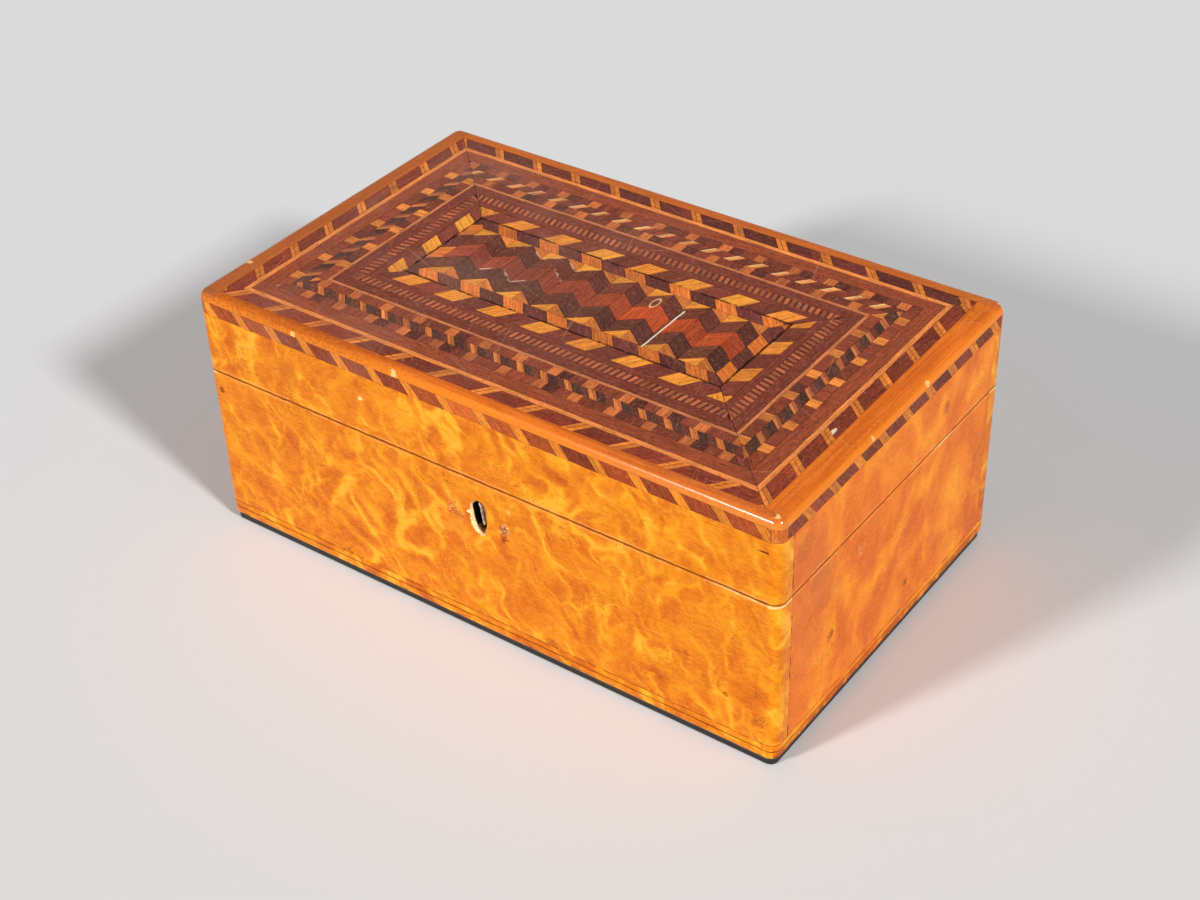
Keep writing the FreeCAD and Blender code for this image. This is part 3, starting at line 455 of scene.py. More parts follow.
wood = s.mix(s.step(fine, 0.5, 0.75, 0, 0.45), wood, seen(150, 68, 22))
wood = s.mix(s.times(wear["Grime"], 0.5), wood, seen(104, 50, 22))
wood = s.mix(s.times(wear["Scratch"], 0.25), wood, seen(252, 200, 120))
x, y, z = s.split(s.here())
# Painted light: the rounded part of the moulding is painted a lighter orange than its flat top.
wood = s.mix(s.step(z, 106.9, 105.2, 0, 0.55), wood, seen(255, 146, 24))
# Darker brown over the front moulding, most at its left end and towards its top, and over the left moulding,
# where this is painted shade.
dim = s.times(s.step(y, -73, -73.6), s.step(x, -10, -75, 0.12, 0.42))
dim = s.most(dim, s.step(x, -118.5, -119.5, 0, 0.15))
dim = s.most(dim, s.times(s.step(y, -73, -73.6), s.step(x, 20, 80, 0, 0.22)))
wood = s.mix(s.times(dim, s.step(z, 103.5, 106.4, 0.3, 1)), wood, seen(146, 68, 26))
# Darker flecks in the same places, painted shade at the left end.
dim_flecks = s.step(s.noise(s.here(), 0.8, 3, 0.7), 0.42, 0.62)
wood = s.mix(s.times(dim_flecks, s.times(dim, 0.9)), wood, seen(112, 54, 20))
# A greyer, darker brown on the rounds of the left and back mouldings; at the left this is painted shade.
dull = s.most(s.step(x, -118, -118.8, 0, 0.6), s.step(y, 70, 70.8, 0, 0.4))
dull = s.times(dull, s.step(fine, 0.3, 0.7, 0.45, 1.25))
wood = s.mix(s.times(dull, s.step(z, 104.6, 106.4)), wood, seen(150, 92, 60))
chipped = s.stored("chip", 2)
wood = s.mix(s.step(chipped, 0.1, 0.5), wood, seen(248, 192, 118))
rub = s.math("ADD", s.times(wear["Grime"], 0.25), s.times(chipped, 0.4))
glossy = s.times(s.step(x, 20, 90), s.step(y, -70, -74))
connect(s, surface, Base_Color=wood, Roughness=s.math("ADD", rub, 0.24),
        Coat_Weight=s.math("SUBTRACT", s.times(glossy, 0.7, 0.25), rub, clamp=True),
        Normal=bump(s, s.times(fine, 0.15, wear["Height"]), 0.3, 0.0002))


def join_rows(bm, rows, following):
    for first, second in zip(rows, following):
        for i in range(len(first) - 1):
            bm.faces.new((first[i], first[i + 1], second[i + 1], second[i]))


def face_out(bm, outwards):
    """Turns all the faces of an open surface the way that most of it should look."""
    bmesh.ops.recalc_face_normals(bm, faces=bm.faces)
    if sum(f.normal.dot(outwards) * f.calc_area() for f in bm.faces) < 0:
        bmesh.ops.reverse_faces(bm, faces=bm.faces)


for side, along, outwards in (("front", X, -Y), ("back", -X, Y), ("left", -Y, -X), ("right", Y, X)):
    lengthwise = side in ("front", "back")
    half_u, half_v = OUTER if lengthwise else OUTER[::-1]
    panel_u, panel_v = PANEL if lengthwise else PANEL[::-1]
    low_u, high_u = PANEL_SHIFT * along.y - panel_u, PANEL_SHIFT * along.y + panel_u
    panel_v += PANEL_SHIFT * outwards.y
    centre_u, centre_v = half_u - CORNER, half_v - CORNER
    arcs = []
    for du in (half_u + low_u, half_u - high_u):
        dv = half_v - panel_v
        back_off = CORNER * (du + dv - math.sqrt(2 * du * dv)) / (du * du + dv * dv)
        mitre = math.atan2(CORNER - back_off * du, CORNER - back_off * dv)
        arcs.append([mitre * (1 - i / ARC_STEPS) for i in range(ARC_STEPS)])
    count = round(2 * centre_u / STATION)
    stations = [(-centre_u, -a) for a in arcs[0]]
    stations += [(centre_u * (2 * i / count - 1), 0) for i in range(count + 1)]
    stations += [(centre_u, a) for a in arcs[1][::-1]]
    bm = bmesh.new()
    chip_layer = bm.verts.layers.float.new("chip")
    rows = []
    for index, (middle, angle) in enumerate(stations):
        away = Vector((math.sin(angle), math.cos(angle)))
        rim = Vector((middle, centre_v)) + away * CORNER
        start = Vector((max(low_u, min(high_u, rim.x)), panel_v))
        shoulder = rim - away * ROUND
        profile = [(start.lerp(shoulder, i / FLAT_STEPS), TOP) for i in range(FLAT_STEPS)]
        for i in range(ROUND_STEPS + 1):
            turn = math.pi / 2 * i / ROUND_STEPS
            profile.append((rim - away * ROUND * (1 - math.sin(turn)), TOP - ROUND * (1 - math.cos(turn))))
        profile.append((rim, FOOT))
        row = []
        for place, (flat, z) in enumerate(profile):
            point = along * flat.x + outwards * flat.y + Z * z
            if 0 < place < len(profile) - 1:
                worn = 0.5 + 0.5 * noise.noise(point * 55) + 0.3 * noise.noise(point * 260)
                lean = min(1, max(0, (place - FLAT_STEPS) / ROUND_STEPS))
                down = along * away.x + outwards * away.y
                point -= (down * lean + Z * (1 - lean)) * max(0, worn) * WEAR_DEPTH
            if index in (0, len(stations) - 1):
                point -= Z * MITRE_SINK
            depth = 0.0
            for cx, cy, cz, radius, deep in CHIPS:
                near = (point - Vector((cx, cy, cz))).length / radius + 0.5 * noise.noise(point * 900)
                if near < 1:
                    depth = max(depth, deep * min(1, 2 - 2 * near))
            if depth:
                point -= (along * away.x + outwards * away.y + Z).normalized() * depth
            v = bm.verts.new(point)
            v[chip_layer] = min(1, depth / CHIP_BARE)
            row.append(v)
        rows.append(row)
    join_rows(bm, rows[:-1], rows[1:])
    bmesh.ops.remove_doubles(bm, verts=bm.verts, dist=1e-7)
    face_out(bm, Z)
    set_plank(bm, along, outwards, 200)
    stand_in(bm, moulding_wood, "edge_moulding_" + side)

# Parquetry on the lid and the slanted banding round its sides.
# Hundreds of pieces of light, red and dark wood, sawn about a millimetre thick, laid in rings round a
# zigzag panel and polished over; pieces have shrunk and tilted a little and dirt fills the joints.
rng = random.Random(11)
parquetry, s, surface = new_material("parquetry", Coat_Roughness=0.2, Specular_IOR_Level=0.14)
plank = s.stored("plank")
here = s.here()
x, y, z = s.split(here)
wear = s.group(handling, Place=here)
streak = s.streaks(plank, (0.10, 1.6, 1.6), 4, 0.62)
pores = s.streaks(plank, (0.6, 5, 5), 2, 0.6)
shade = s.node("CombineXYZ", [s.step(streak, 0.28, 0.72, 0.62, 1.34)] * 3)
wood = s.mix(1, s.stored("tint", 0), shade, "MULTIPLY")
wood = s.mix(s.step(pores, 0.54, 0.7, 0, 0.5), wood, seen(60, 26, 18))
wood = s.mix(s.step(pores, 0.46, 0.3, 0, 0.24), wood, seen(232, 150, 92))
specks = s.streaks(plank, (0.55, 1.4, 1.4), 3, 0.7)
wood = s.mix(s.step(specks, 0.56, 0.68, 0, 0.5), wood, seen(56, 24, 20))
wood = s.mix(s.step(specks, 0.43, 0.32, 0, 0.34), wood, seen(220, 132, 84))
wood = s.mix(s.times(wear["Grime"], 0.35), wood, seen(70, 36, 24))
# A pale greyish haze over the lid, heavier towards the left, where it is a painted sheen.
haze_and_sheen = s.times(s.step(s.noise(here, 0.03, 3), 0.4, 0.75, 0.02, 0.16), s.step(x, 50, -60, 0.15, 1.3))
wood = s.mix(haze_and_sheen, wood, seen(176, 134, 116))
# Pale scuffs, most of them over the left half
slanted = s.node("VectorRotate", {"Vector": here, "Angle": 0.9}, rotation_type="Z_AXIS")
scuff = s.step(s.streaks(slanted, (0.32, 1.5, 1), 3, 0.6), 0.63, 0.74)
scuff = s.times(scuff, s.step(s.noise(here, 0.035, 1), 0.46, 0.62))
scuff = s.times(scuff, s.step(x, 20, -40, 0.12, 0.6))
wood = s.mix(scuff, wood, seen(216, 178, 150))
# An old joint in the zigzags, opened and filled with pale wax, and a scratched oval beside it
along_it = s.step(s.math("ABSOLUTE", s.math("ADD", y, 5.2)), 14.2, 13.2)
for place, width, shade in ((32.95, 0.5, (34, 17, 14)), (33.5, 0.6, (250, 226, 204))):
    filled = s.group(seam, Value=x, At=place, Width=width, Gate=0.2, Place=here)["Mask"]
    wood = s.mix(s.times(filled, along_it), wood, seen(*shade))
oval = s.vector("MULTIPLY", s.vector("SUBTRACT", here, (21.5, 7.4, 107)), (0.76, 0.32, 0))
oval = s.math("SUBTRACT", s.node("VectorMath", [oval], 1, operation="LENGTH"), 1)
oval = s.step(s.math("ABSOLUTE", oval), 0.28, 0.08, 0, 0.8)
wood = s.mix(oval, wood, seen(232, 190, 140))
# Pale wax in the joints between the zigzags, at the left
wave = s.times(s.math("PINGPONG", s.math("ADD", x, 64.4), 8.05), 0.795)
for level, left, width in ((-9.6, -38, 11), (0.8, -20, 5), (9.4, -28, 14)):
    over = s.math("SUBTRACT", y, wave)
    waxed = s.group(seam, Value=over, At=level, Width=0.75, Gate=0.46, Place=here)["Mask"]
    within = s.step(s.math("ABSOLUTE", s.math("SUBTRACT", x, left)), width, width - 1, 0, 0.9)
    wood = s.mix(s.times(waxed, within), wood, seen(236, 190, 160))
# A white chip in the dashes at the right, where a sliver of veneer is gone
chip = s.group(mark, Place=here, At=(115.3, -25.7, 107), Radii=(1, 2.2, 3))["Mask"]
wood = s.mix(chip, wood, seen(244, 220, 190))
# Dark line along the shrinkage gap between the two frames of the field: dirt and painted shade
ring = s.most(s.math("SUBTRACT", s.math("ABSOLUTE", x), 70.1),
              s.math("SUBTRACT", s.math("ABSOLUTE", s.math("ADD", y, 1.4)), 23.3))
gap = s.group(seam, Value=ring, At=0, Width=0.9, Gate=0.40, Place=here)["Mask"]
wood = s.mix(gap, wood, seen(30, 15, 12))
wood = s.mix(s.times(wear["Scratch"], 0.25), wood, seen(232, 176, 128))
connect(s, surface, Base_Color=wood, Roughness=s.times(wear["Grime"], 0.25, 0.36),
        Coat_Weight=s.step(wear["Grime"], 0, 0.5, 0.08, 0.02),
        Normal=bump(s, s.times(streak, 0.4, wear["Height"]), 0.3, 0.0002))
banding = parquetry.copy()
banding.name = "side_banding"
banding.node_tree.nodes["Principled BSDF"].inputs["Specular IOR Level"].default_value = 0.06

INNER_FIELD, ZIGZAG = (0.0701, 0.0233), (0.0644, 0.0172)
COLUMN = ZIGZAG[0] / 8
SLIVER_LANE = (0.0187, 0.0232)
GAP_HALF, RIM_EASE, SINK, DEEPEST = 0.00014, 0.00007, 0.00004, 0.00012
SMALL_PIECE, LOOSE_TILT = 0.012, 0.004
BAND_FRONT, BAND_LONG, BAND_POST = 0.0765, 0.0755, (0.122, 0.0725)
FADED_AT, FADED_REACH, FRESH_FROM, FRESH_OVER = 0.004, 0.026, -0.012, 0.03


def islands(bm):
    """The separate pieces of a mesh, each as a list of faces, in the order of their faces."""
    done = set()
    for face in bm.faces:
        if face in done:
            continue
        done.add(face)
        piece = [face]
        for member in piece:
            for edge in member.edges:
                for other in edge.link_faces:
                    if other not in done:
                        done.add(other)
                        piece.append(other)
        yield piece


def runs_along_x(place):
    return PANEL[1] - abs(place.y) < PANEL[0] - abs(place.x)


def dash(place, tone):
    if tone == "light":
        return (0.42, (232, 130, 50)), (0.1, (168, 84, 40)), (0.48, (236, 134, 50))
    at_back = runs_along_x(place) and place.y > 0
    dark, warm = ((108, 42, 36), (134, 54, 40)) if at_back else ((136, 52, 34), (158, 64, 38))
    share = rng.choice((0, 0, 0.3))
    return ((1 - share, dark), (share, warm)) if share else ((1, dark),)


def stepped(place, tone):
    depth = min(PANEL[0] - abs(place.x), PANEL[1] - abs(place.y))
    sliver = SLIVER_LANE[0] < depth < SLIVER_LANE[1]
    on_long = runs_along_x(place)
    at_back = on_long and place.y > 0
    if tone == "light" and sliver:
        if at_back:
            return (0.5, (255, 186, 120)), (0.5, (240, 146, 82))
        if on_long:
            return (0.5, (238, 136, 66)), (0.5, (208, 112, 58))
        return (0.5, (214, 124, 70)), (0.5, (186, 100, 60))
    if tone == "light":
        return ((1, (208, 112, 60) if on_long else (236, 138, 62)),)
    if sliver and not at_back:
        black, brown = (80, 50, 44), (114, 56, 46)
        return ((0.55, black), (0.45, brown)) if on_long else ((0.35, brown), (0.65, black))
    if not sliver and rng.random() < (0.6 if at_back else 0.25):
        return (0.5, (98, 45, 38)), (0.5, (140, 64, 46))
    return ((1, (132, 59, 43) if at_back else (146, 66, 44)),)


def side_band(place, tone):
    on_front = abs(place.y) > BAND_FRONT
    if abs(place.x) > BAND_POST[0] and abs(place.y) > BAND_POST[1]:
        return ((1, (216, 112, 38)),)
    if tone == "light":
        return ((1, (244, 140, 36) if on_front else (240, 136, 42)),)
    if on_front:
        faded = max(0, 1 - abs(place.x - FADED_AT) / FADED_REACH)
        shade = Vector(rng.choice(((158, 64, 24), (146, 56, 26), (176, 76, 26))))
        return ((1, tuple(shade.lerp(Vector((218, 106, 28)), faded))),)
    return ((1, rng.choice(((116, 46, 28), (130, 53, 28), (142, 60, 32)))),)


def field(place, tone):
    x, y = place.x, place.y
    if abs(x) < ZIGZAG[0] and abs(y) < ZIGZAG[1]:
        # In the zigzags each wood is lighter in the rising columns and darker in the falling ones: painted
        # light and shade.
        rises = int((x + ZIGZAG[0]) / COLUMN) % 2 == 0
        if tone == "light":
            return ((1, (255, 160, 58) if rises else (230, 128, 58)),)
        if tone == "red":
            fresh = max(0, min(1, (x - FRESH_FROM) / FRESH_OVER))
            dull, bright = ((160, 70, 48), (222, 90, 40)) if rises else ((138, 61, 46), (196, 78, 42))
            return ((1, tuple(Vector(dull).lerp(Vector(bright), fresh))),)
        if y > 0:
            return ((1, (118, 57, 42) if rises else (100, 48, 41)),)
        return ((1, (104, 56, 41) if rises else (88, 47, 41)),)
    outer = abs(x) > INNER_FIELD[0] or abs(y) > INNER_FIELD[1]
    if tone == "light":
        return ((1, (255, 152, 54) if outer else (238, 126, 52)),)
    return ((1, (134, 60, 46) if outer else (108, 51, 46)),)


def plain(shade):
    return lambda place, tone: ((1, shade),)


def shrink_back(v):
    """Opens the joint between the two frames of the field where the point lies on it."""
    off_x, off_y = abs(v.co.x) - INNER_FIELD[0], abs(v.co.y - PANEL_SHIFT) - INNER_FIELD[1]
    off = max(off_x, off_y)
    if abs(off) < 0.0001:
        if off_x > off_y:
            outwards = X * math.copysign(1, v.co.x)
        else:
            outwards = Y * math.copysign(1, v.co.y - PANEL_SHIFT)
        v.co += outwards * math.copysign(GAP_HALF * (1.2 + noise.noise(v.co * 150)), off)


BANDS = (
    ("side_light", side_band), ("side_dark", side_band), ("dash_light", dash), ("dash_dark", dash),
    ("outer_string", plain((248, 145, 72))), ("inner_string", plain((216, 127, 78))),
    ("plain_border", plain((158, 73, 44))), ("rope_ground", plain((126, 57, 43))),
    ("stepped_light", stepped), ("stepped_dark", stepped),
    ("field_light", field), ("field_red", field), ("field_dark", field))
for band, pattern in BANDS:
    node, tone, flat = band + "_pieces", band.split("_")[1], pattern is not side_band
    bm = shell(node, 0)
    bm.normal_update()
    tint = bm.loops.layers.float_color.new("tint")
    grain = bm.verts.layers.float_vector.new("plank")
    for piece in list(islands(bm)):
        corners = dict.fromkeys(v for f in piece for v in f.verts)
        centre = sum((v.co for v in corners), Vector()) / len(corners)
        spot = centre - Y * PANEL_SHIFT if flat else centre
        if flat:
            up, run = Z, X if runs_along_x(spot) else Y
        else:
            run, off = (X, centre.y) if abs(centre.y) > BAND_LONG else (Y, centre.x)
            up = (Y if run is X else X) * math.copysign(1, off)
        sides = dict.fromkeys(e for f in piece for e in f.edges)
        slanted = [(e.verts[1].co - e.verts[0].co) for e in sides]
        slanted = [d for d in slanted if abs(d.dot(up)) < 1e-6 and abs(d.normalized().dot(run)) < 0.94]
        lean = max(slanted, key=lambda d: d.length).normalized() if slanted else run.cross(up)
        along = lean if pattern in (stepped, field, side_band) else run
        across = up.cross(along).normalized()
        shift = Vector((rng.uniform(0, 400), rng.uniform(0, 400), rng.uniform(0, 400)))
        loose = LOOSE_TILT if max((v.co - centre).length for v in corners) < SMALL_PIECE else 0.0
        tilt = Vector((rng.gauss(0, loose), rng.gauss(0, loose), 0))
        sink = rng.uniform(0, SINK)
        top = max(v.co.dot(up) for v in corners)
        for v in corners:
            if pattern is field:
                shrink_back(v)
            local = v.co - centre
            v[grain] = Vector((local.dot(along), local.dot(across), local.dot(up))) * 1000 + shift
            if flat and top - v.co.dot(up) < 1e-6:
                v.co -= up * min(DEEPEST, max(0, sink + local.x * tilt.x + local.y * tilt.y))
        normal = up.cross(lean).normalized()
        normal = normal if normal.dot(run) > 0 else -normal
        low = min(v.co.dot(normal) for v in corners)
        high = max(v.co.dot(normal) for v in corners)
        spread = (0.85, 1.1) if pattern in (dash, stepped, field, side_band) else (0.97, 1.03)
        cuts, reached = [], 0.0
        for share, shade in pattern(spot, tone):
            reached += share
            vary = rng.uniform(*spread)
            cuts.append((low + reached * (high - low), [min(255, c * vary) for c in shade]))
        faces = piece
        for level, shade in cuts[:-1]:
            geometry = list(dict.fromkeys(x for f in faces for x in (*f.verts, *f.edges))) + faces
            made = bmesh.ops.bisect_plane(bm, geom=geometry, dist=1e-7, plane_co=normal * level,
                                          plane_no=normal)
            faces = [x for x in made["geom"] if isinstance(x, bmesh.types.BMFace)]
        for f in faces:
            level = f.calc_center_median().dot(normal)
            shade = next((c for limit, c in cuts if level < limit), cuts[-1][1])
            for loop in f.loops:
                loop[tint] = seen(*shade)
    bm.normal_update()
    rims = [e for e in bm.edges if len(e.link_faces) == 2 and e.calc_face_angle() > math.radians(60)]
    for f in ease_edges(bm, rims, RIM_EASE)["faces"]:
        f.normal_update()
        if max(abs(c) for c in f.normal) > 0.95:
            continue
        for loop in f.loops:
            loop[tint] = [c * 0.35 for c in loop[tint][:3]] + [1]
    stand_in(bm, parquetry if flat else banding, node)

# Rope band: a row of short light bars set on a dark ground, like the rungs of a ladder.
# End-grain slips of a reddish wood, cut from one laminated stick and laid between two dark strips.
RING_OUT, RING_WIDTH, BAR_PITCH, BAR_SHARE, BAR_LEAN = (0.0840, 0.0377), 0.0039, 0.00257, 0.56, 0.0004
BAR_GAP, BAR_SINK, BAR_DEPTH, BAR_LEAST = 0.00004, 0.00006, 0.0008, 0.0002
bm = bmesh.new()
tint = bm.loops.layers.float_color.new("tint")
grain = bm.verts.layers.float_vector.new("plank")
for along, outwards in ((X, -Y), (X, Y), (Y, X), (Y, -X)):
    reach, edge = RING_OUT if along is X else RING_OUT[::-1]
    count = int(2 * reach / BAR_PITCH)
    for index in range(count * 2):
        light = index % 2 == 0
        start = -reach + index // 2 * BAR_PITCH + (0 if light else BAR_PITCH * BAR_SHARE)
        end = start + BAR_PITCH * (BAR_SHARE if light else 1 - BAR_SHARE) - BAR_GAP
        vary = rng.uniform(0.82, 1.12)
        shade = [c * vary for c in ((188, 101, 66) if light else (108, 49, 40))]
        z = TOP - rng.uniform(0, BAR_SINK) - (0 if light else BAR_GAP)
        inner, limit = edge - RING_WIDTH, reach - RING_WIDTH
        quad = []
        for u, v, cap in ((start - BAR_LEAN, edge, reach), (end - BAR_LEAN, edge, reach),
                          (end + BAR_LEAN, inner, limit), (start + BAR_LEAN, inner, limit)):
            quad.append(along * max(-cap, min(cap, u)) + outwards * v + Y * PANEL_SHIFT + Z * z)
        if (quad[1] - quad[0]).length < BAR_LEAST:
            continue
        face = bm.faces.new([bm.verts.new(p) for p in quad])
        face.normal_update()
        if face.normal.z < 0:
            face.normal_flip()
        shift = Vector((rng.uniform(0, 400), rng.uniform(0, 400), 0))
        for loop in face.loops:
            loop[tint] = seen(*shade)
            loop.vert[grain] = Vector((loop.vert.co.dot(outwards), loop.vert.co.dot(along), 0)) * 1000 + shift
made = bmesh.ops.extrude_face_region(bm, geom=bm.faces[:])
for v in [x for x in made["geom"] if isinstance(x, bmesh.types.BMVert)]:
    v.co.z -= BAR_DEPTH
bmesh.ops.recalc_face_normals(bm, faces=bm.faces)
stand_in(bm, parquetry, "rope_bars_pieces")

# Boards of the case and the lid, under the veneers: a plain reddish softwood, planed and oiled.
# The ends are lapped into the front and back; only the rims and the insides are seen.
carcase, s, surface = new_material("carcase_wood", IOR=1.45)
plank = s.stored("plank")
wear = s.group(handling, Place=s.here())
rings = s.streaks(plank, (0.012, 0.28, 0.28), 3, 0.55)
wood = s.ramp(s.math("FRACT", s.times(rings, 6)), (0, 186, 126, 78),
              (0.7, 164, 102, 58), (1, 132, 76, 42))
fine = s.streaks(plank, (0.15, 4, 4), 3)
wood = s.mix(s.step(fine, 0.45, 0.75, 0, 0.35), wood, seen(104, 60, 34))
wood = s.mix(s.times(wear["Grime"], 0.6), wood, seen(70, 42, 26))
connect(s, surface, Base_Color=wood, Roughness=s.times(fine, 0.2, 0.5),
        Normal=bump(s, s.math("ADD", fine, wear["Height"]), 0.3, 0.0002))
BOARD_EASE, FOOT_EASE = 0.00015, 0.0009
for part, kind in (("", "_wall"), ("lid_", "_rail")):
    for index, (side, along) in enumerate(SIDES):
        bm = shell(part + side + kind, BOARD_EASE)
        set_plank(bm, along, Z, 70 * index)
        stand_in(bm, carcase, part + side + kind)
bm = shell("lid_top_board", BOARD_EASE)
set_plank(bm, X, Y, 500)
stand_in(bm, carcase, "lid_top_board")

# Base board under the case: stained black outside, bare wood where it is the floor of the box.
# One thin board, set in a little from the sides with rounded edges, that the box stands on.
material, s, surface = new_material("black_stained_wood", IOR=1.45)
place = s.here()
wear = s.group(handling, Place=place)
fine = s.streaks(place, (0.2, 3, 3), 3)
dark = s.mix(s.step(fine, 0.4, 0.7), seen(26, 22, 20), seen(46, 38, 33))
dark = s.mix(s.times(wear["Grime"], 0.5), dark, seen(92, 76, 60))
connect(s, surface, Base_Color=dark, Roughness=s.times(fine, 0.25, 0.4),
        Normal=bump(s, fine, 0.3, 0.0002))
bm = shell("bottom_board", FOOT_EASE, 4)
set_plank(bm, X, Y, 640)
for f in bm.faces:
    if f.normal.z > 0.9:
        f.material_index = 1
base = stand_in(bm, material, "bottom_board")
base.data.materials.append(carcase)

# Broken edge of the keyhole: the veneer has splintered away round the hole and shows its pale inside.
# What is left slopes from the polished face to the hole in the front board; further in, the hole's walls are
# painted black as painted shade.
BREAK = ((-0.5, 60.6), (0.5, 61.8), (2.6, 63.3), (4.4, 63.1), (6.4, 62.2), (6.8, 60.2), (6.6, 57.4),
         (6.8, 55), (6.3, 52.4), (5.2, 48.5), (4, 48), (1.2, 48.9), (-0.6, 51.5), (-1, 54.4),
         (-0.8, 56.1), (-2.6, 56.3), (-2.2, 57.2), (-0.9, 58.2))
THROAT = ((-0.2, 60.3), (0.8, 61.5), (2.6, 62.9), (4.4, 62.7), (6, 61.9), (6.4, 60.2), (6.2, 57.4),
          (6.4, 55), (6, 52.5), (5, 48.9), (4.2, 48.5), (2.5, 49.2), (1.6, 50.2), (1.2, 51.6),
          (0.4, 54.1), (0.1, 56.1), (-0.2, 58.4))
SLOPE = ((0, 0.05), (0.3, 0.25), (0.6, 0.5), (0.85, 0.75), (1, 0.97), (1, 1.5), (1, 2.4))
BREAK_STEP, JAG_SLOPE, JAG_THROAT, JAG_DEPTH = 0.3, 0.3, 0.12, 0.1
material, s, surface = new_material("splintered_wood", Specular_IOR_Level=0.2)
place = s.here()
fibres = s.streaks(place, (1.2, 3, 2.2), 4, 0.65)
raw = s.ramp(fibres, (0.3, 214, 132, 58), (0.45, 250, 204, 130), (0.65, 255, 240, 200))
# Painted shade: deeper in the hole the walls are painted near black.
raw = s.mix(s.step(s.stored("deep", 2), 0.8, 1.35), raw, seen(10, 6, 5))
connect(s, surface, Base_Color=raw, Roughness=s.times(fibres, 0.2, 0.6),
        Normal=bump(s, fibres, 0.6, 0.0003))


def nearest(point, outline):
    best = None
    for a, b in zip(outline, outline[1:] + outline[:1]):
        start, step = Vector(a), Vector(b) - Vector(a)
        share = max(0, min(1, (point - start).dot(step) / step.length_squared))
        found = start + step * share
        if best is None or (found - point).length < (best - point).length:
            best = found
    return best


bm = bmesh.new()
deep = bm.verts.layers.float.new("deep")
rows = []
for a, b in zip(BREAK, BREAK[1:] + BREAK[:1]):
    start, end = Vector(a), Vector(b)
    steps = max(2, round((end - start).length / BREAK_STEP))
    for i in range(steps):
        rim = start.lerp(end, i / steps)
        edge = nearest(rim, THROAT)
        row = []
        for share, depth in SLOPE:
            spot = rim.lerp(edge, share)
            jag = noise.noise(Vector((spot.x, depth, spot.y)) * 1.6)
            reach = JAG_SLOPE if 0 < share < 1 else JAG_THROAT if share else 0
            spot += (edge - rim).normalized() * jag * reach
            low = depth + (JAG_DEPTH * jag if depth < 0.9 else 0)
            v = bm.verts.new((spot.x / 1000, (FRONT_FACE + low) / 1000, spot.y / 1000))
            v[deep] = depth
            row.append(v)
        rows.append(row)
join_rows(bm, rows, rows[1:] + rows[:1])
face_out(bm, -Y)
broken = add_mesh(bm, "keyhole_break", material)
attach(broken, "case")

# Lock, strike plate, hinges and what is left of the keyhole's liner: sheet and cast brass with steel
# inside, filed and screwed; dulled brown in the corners and rubbed bright on the edges.


def metal(name, bright, dull, rough):
    material, s, surface = new_material(name, Metallic=1)
    place = s.here()
    wear = s.group(handling, Place=place)
    tarnish = s.step(s.noise(place, 0.35, 4, 0.6), 0.38, 0.66)
    shade = s.mix(tarnish, seen(*bright), seen(*dull))
    shade = s.mix(s.times(wear["Scratch"], 0.5), shade, seen(*bright))
    # Painted shade: round the keyhole the lock's brass and steel are painted near black.
    keyhole_shade = s.group(mark, Place=place, At=(2.4, -82, 56), Radii=(14, 14, 14))["Mask"]
    shade = s.mix(keyhole_shade, shade, seen(16, 11, 8))
    connect(s, surface, Base_Color=shade, Roughness=s.times(tarnish, 0.2, rough),
            Normal=bump(s, wear["Height"], 0.2, 0.0001))
    return material


PLATE_EASE, PIN_EASE, LEVER_EASE = 0.00012, 0.0002, 0.0001
brass = metal("old_brass", (206, 166, 92), (128, 92, 46), 0.3)
steel = metal("lock_steel", (158, 154, 148), (84, 76, 70), 0.35)
for node in ("lock_case", "lock_cap", "strike_plate"):
    stand_in(shell(node, PLATE_EASE), brass, node)
for side in ("left", "right"):
    for leaf in ("lower", "upper"):
        node = "hinge_" + side + "_" + leaf + "_leaf"
        stand_in(shell(node, PLATE_EASE), brass, node)
stand_in(shell("hinge_pins", PIN_EASE, 2), steel, "hinge_pins")
for node in ("lock_bolt", "lock_spring", "lock_key_pin"):
    stand_in(shell(node, LEVER_EASE), steel, node)
white_metal, s, surface = new_material("white_metal", Metallic=1)
worn = s.noise(s.here(), 0.9, 3, 0.6)
connect(s, surface, Base_Color=s.mix(s.step(worn, 0.4, 0.65), seen(236, 230, 220), seen(170, 158, 140)),
        Roughness=s.times(worn, 0.3, 0.3), Normal=bump(s, worn, 0.4, 0.0002))
stand_in(shell("keyhole_liner", LEVER_EASE), white_metal, "keyhole_liner")

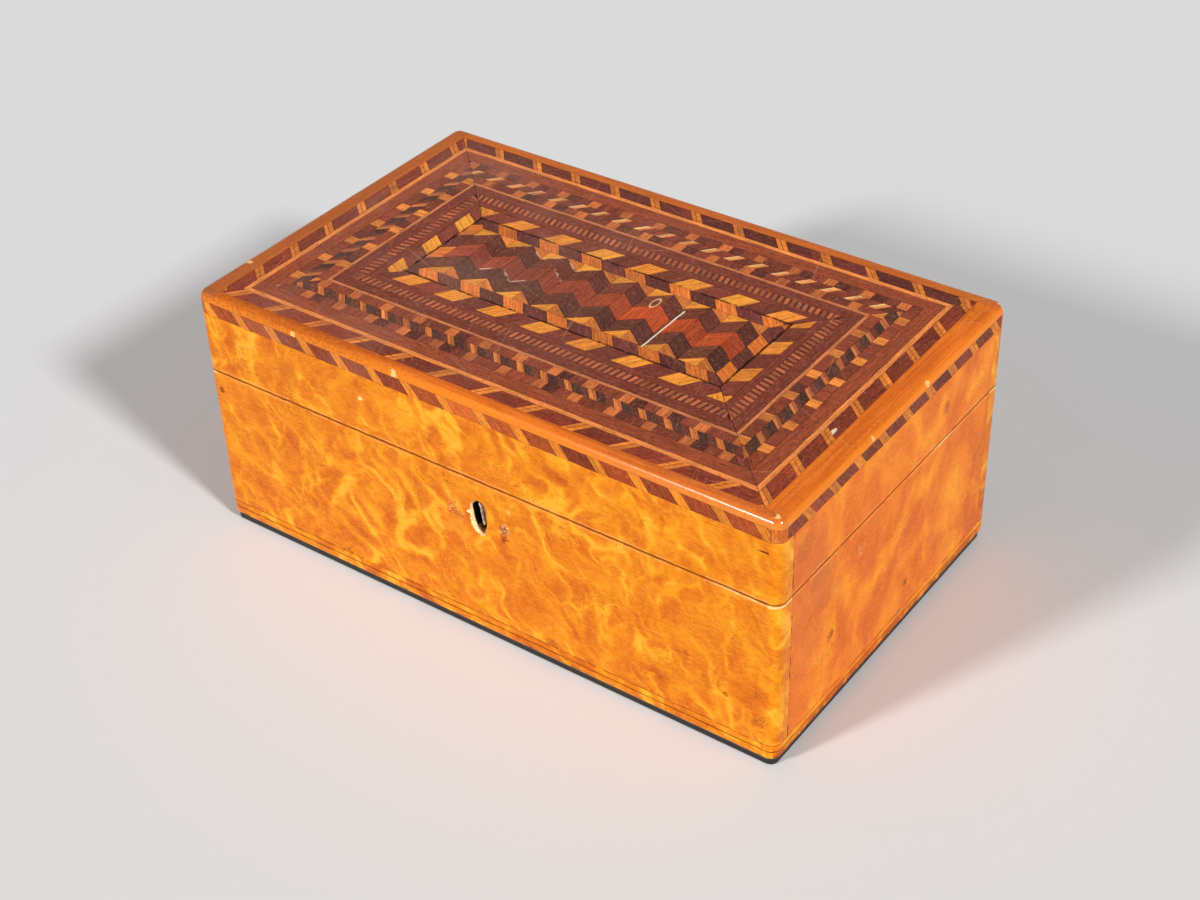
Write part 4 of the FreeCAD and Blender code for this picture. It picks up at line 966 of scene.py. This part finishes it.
# Screws in the hinges, the lock and the strike plate: turned brass with countersunk, slotted heads.
# Each head is flush with its plate, and the slots were left at whatever angle they tightened to.
HEAD, SLOT_HALF, SLOT_DEPTH, HEAD_DEPTH, HEAD_TAPER, HALF_TURN = 0.0016, 0.0002, 0.00045, 0.0009, 0.72, 14
SLOT_REACH, SLOT_SPREAD = 0.9, 1.5
for node in ("hinge_lower_screws", "hinge_upper_screws", "lock_screws", "strike_screws"):
    solids = shell(node, 0)
    bm = bmesh.new()
    for piece in list(islands(solids)):
        corners = [v.co for f in piece for v in f.verts]
        low, high = ([pick(c[i] for c in corners) for i in range(3)] for pick in (min, max))
        widths = []
        for level in (low[2], high[2]):
            end = [c.x for c in corners if abs(c.z - level) < 1e-6]
            widths.append(max(end) - min(end))
        face_z, deep = (high[2], -1) if widths[1] > widths[0] else (low[2], 1)
        middle = Vector(((low[0] + high[0]) / 2, (low[1] + high[1]) / 2, face_z))
        turn = Matrix.Rotation(rng.uniform(0, math.pi), 3, "Z")
        reach = math.sqrt(HEAD ** 2 - SLOT_HALF ** 2)
        for half in (-1, 1):
            start = math.asin(SLOT_HALF / HEAD)
            sweep = [start + (math.pi - 2 * start) * i / HALF_TURN for i in range(HALF_TURN + 1)]
            outline = [Vector((math.cos(a) * HEAD, half * math.sin(a) * HEAD, 0)) for a in sweep]
            top_ring = [bm.verts.new(middle + turn @ p) for p in outline]
            low_ring = [bm.verts.new(middle + turn @ (p * HEAD_TAPER) + Z * deep * HEAD_DEPTH)
                        for p in outline]
            bm.faces.new(top_ring)
            for i in range(len(outline)):
                j = (i + 1) % len(outline)
                bm.faces.new((top_ring[i], top_ring[j], low_ring[j], low_ring[i]))
        slot = [Vector((sx * reach, sy * SLOT_HALF * SLOT_SPREAD, 0))
                for sx, sy in ((-1, -1), (1, -1), (1, 1), (-1, 1))]
        bm.faces.new([bm.verts.new(middle + turn @ (p * SLOT_REACH) + Z * deep * SLOT_DEPTH) for p in slot])
    solids.free()
    bmesh.ops.recalc_face_normals(bm, faces=bm.faces)
    stand_in(bm, brass, node)

# Floor, lamps and camera: a plain pale floor that takes the shadows, one lamp in front and one to the
# right as the shadows show, and the photo's own point of view.
bm = bmesh.new()
bmesh.ops.create_grid(bm, x_segments=1, y_segments=1, size=6)
material, s, surface = new_material("pale_floor", Base_Color=(0.72, 0.72, 0.72, 1), Roughness=0.9)
floor = add_mesh(bm, "floor", material)

SUN_WIDTH = math.radians(8)
LAMPS = (("lamp_front", (-0.276, -0.671, 0.36), 2.2), ("lamp_right", (0.641, -0.16, 0.463), 2.38))
for name, towards, strength in LAMPS:
    data = bpy.data.lights.new(name, "SUN")
    data.energy, data.angle = strength, SUN_WIDTH
    lamp = add(name, data)
    lamp.location = towards
    lamp.rotation_mode = "QUATERNION"
    lamp.rotation_quaternion = Vector(towards).to_track_quat("Z", "Y")

world = bpy.data.worlds.new("room")
world.use_nodes = True
bpy.context.scene.world = world
s = Shader(world.node_tree)
path = s.node("LightPath").node.outputs
sees = s.most(path["Is Glossy Ray"], path["Is Transmission Ray"])
sees = s.most(path["Is Camera Ray"], sees)
height = s.split(s.node("TexCoord"))[2]
grey = s.node("CombineXYZ", [s.step(height, 0.35, 0.9, 0.12, 0.3)] * 3)
shade = s.mix(s.times(sees, s.step(height, 0.3, 0.12)), grey, (1, 1, 1, 1))
world.node_tree.links.new(shade, world.node_tree.nodes["Background"].inputs["Color"])

STANDS = (0.37421, -0.49998, 0.4943)
azimuth, elevation, roll = math.radians(36.84), math.radians(36.22), math.radians(-2.07)
back = Vector((math.sin(azimuth) * math.cos(elevation), -math.cos(azimuth) * math.cos(elevation),
               math.sin(elevation)))
level = Vector((math.cos(azimuth), math.sin(azimuth), 0))
upright = back.cross(level)
right = level * math.cos(roll) + upright * math.sin(roll)
above = upright * math.cos(roll) - level * math.sin(roll)
data = bpy.data.cameras.new("photo_view")
data.sensor_width, data.lens = 36, 60.27
data.clip_start, data.clip_end = 0.05, 30
camera = add("photo_view", data)
camera.matrix_world = Matrix((*zip(right, above, back, STANDS), (0, 0, 0, 1)))
bpy.context.scene.camera = camera
bpy.context.scene.view_settings.view_transform = "Standard"
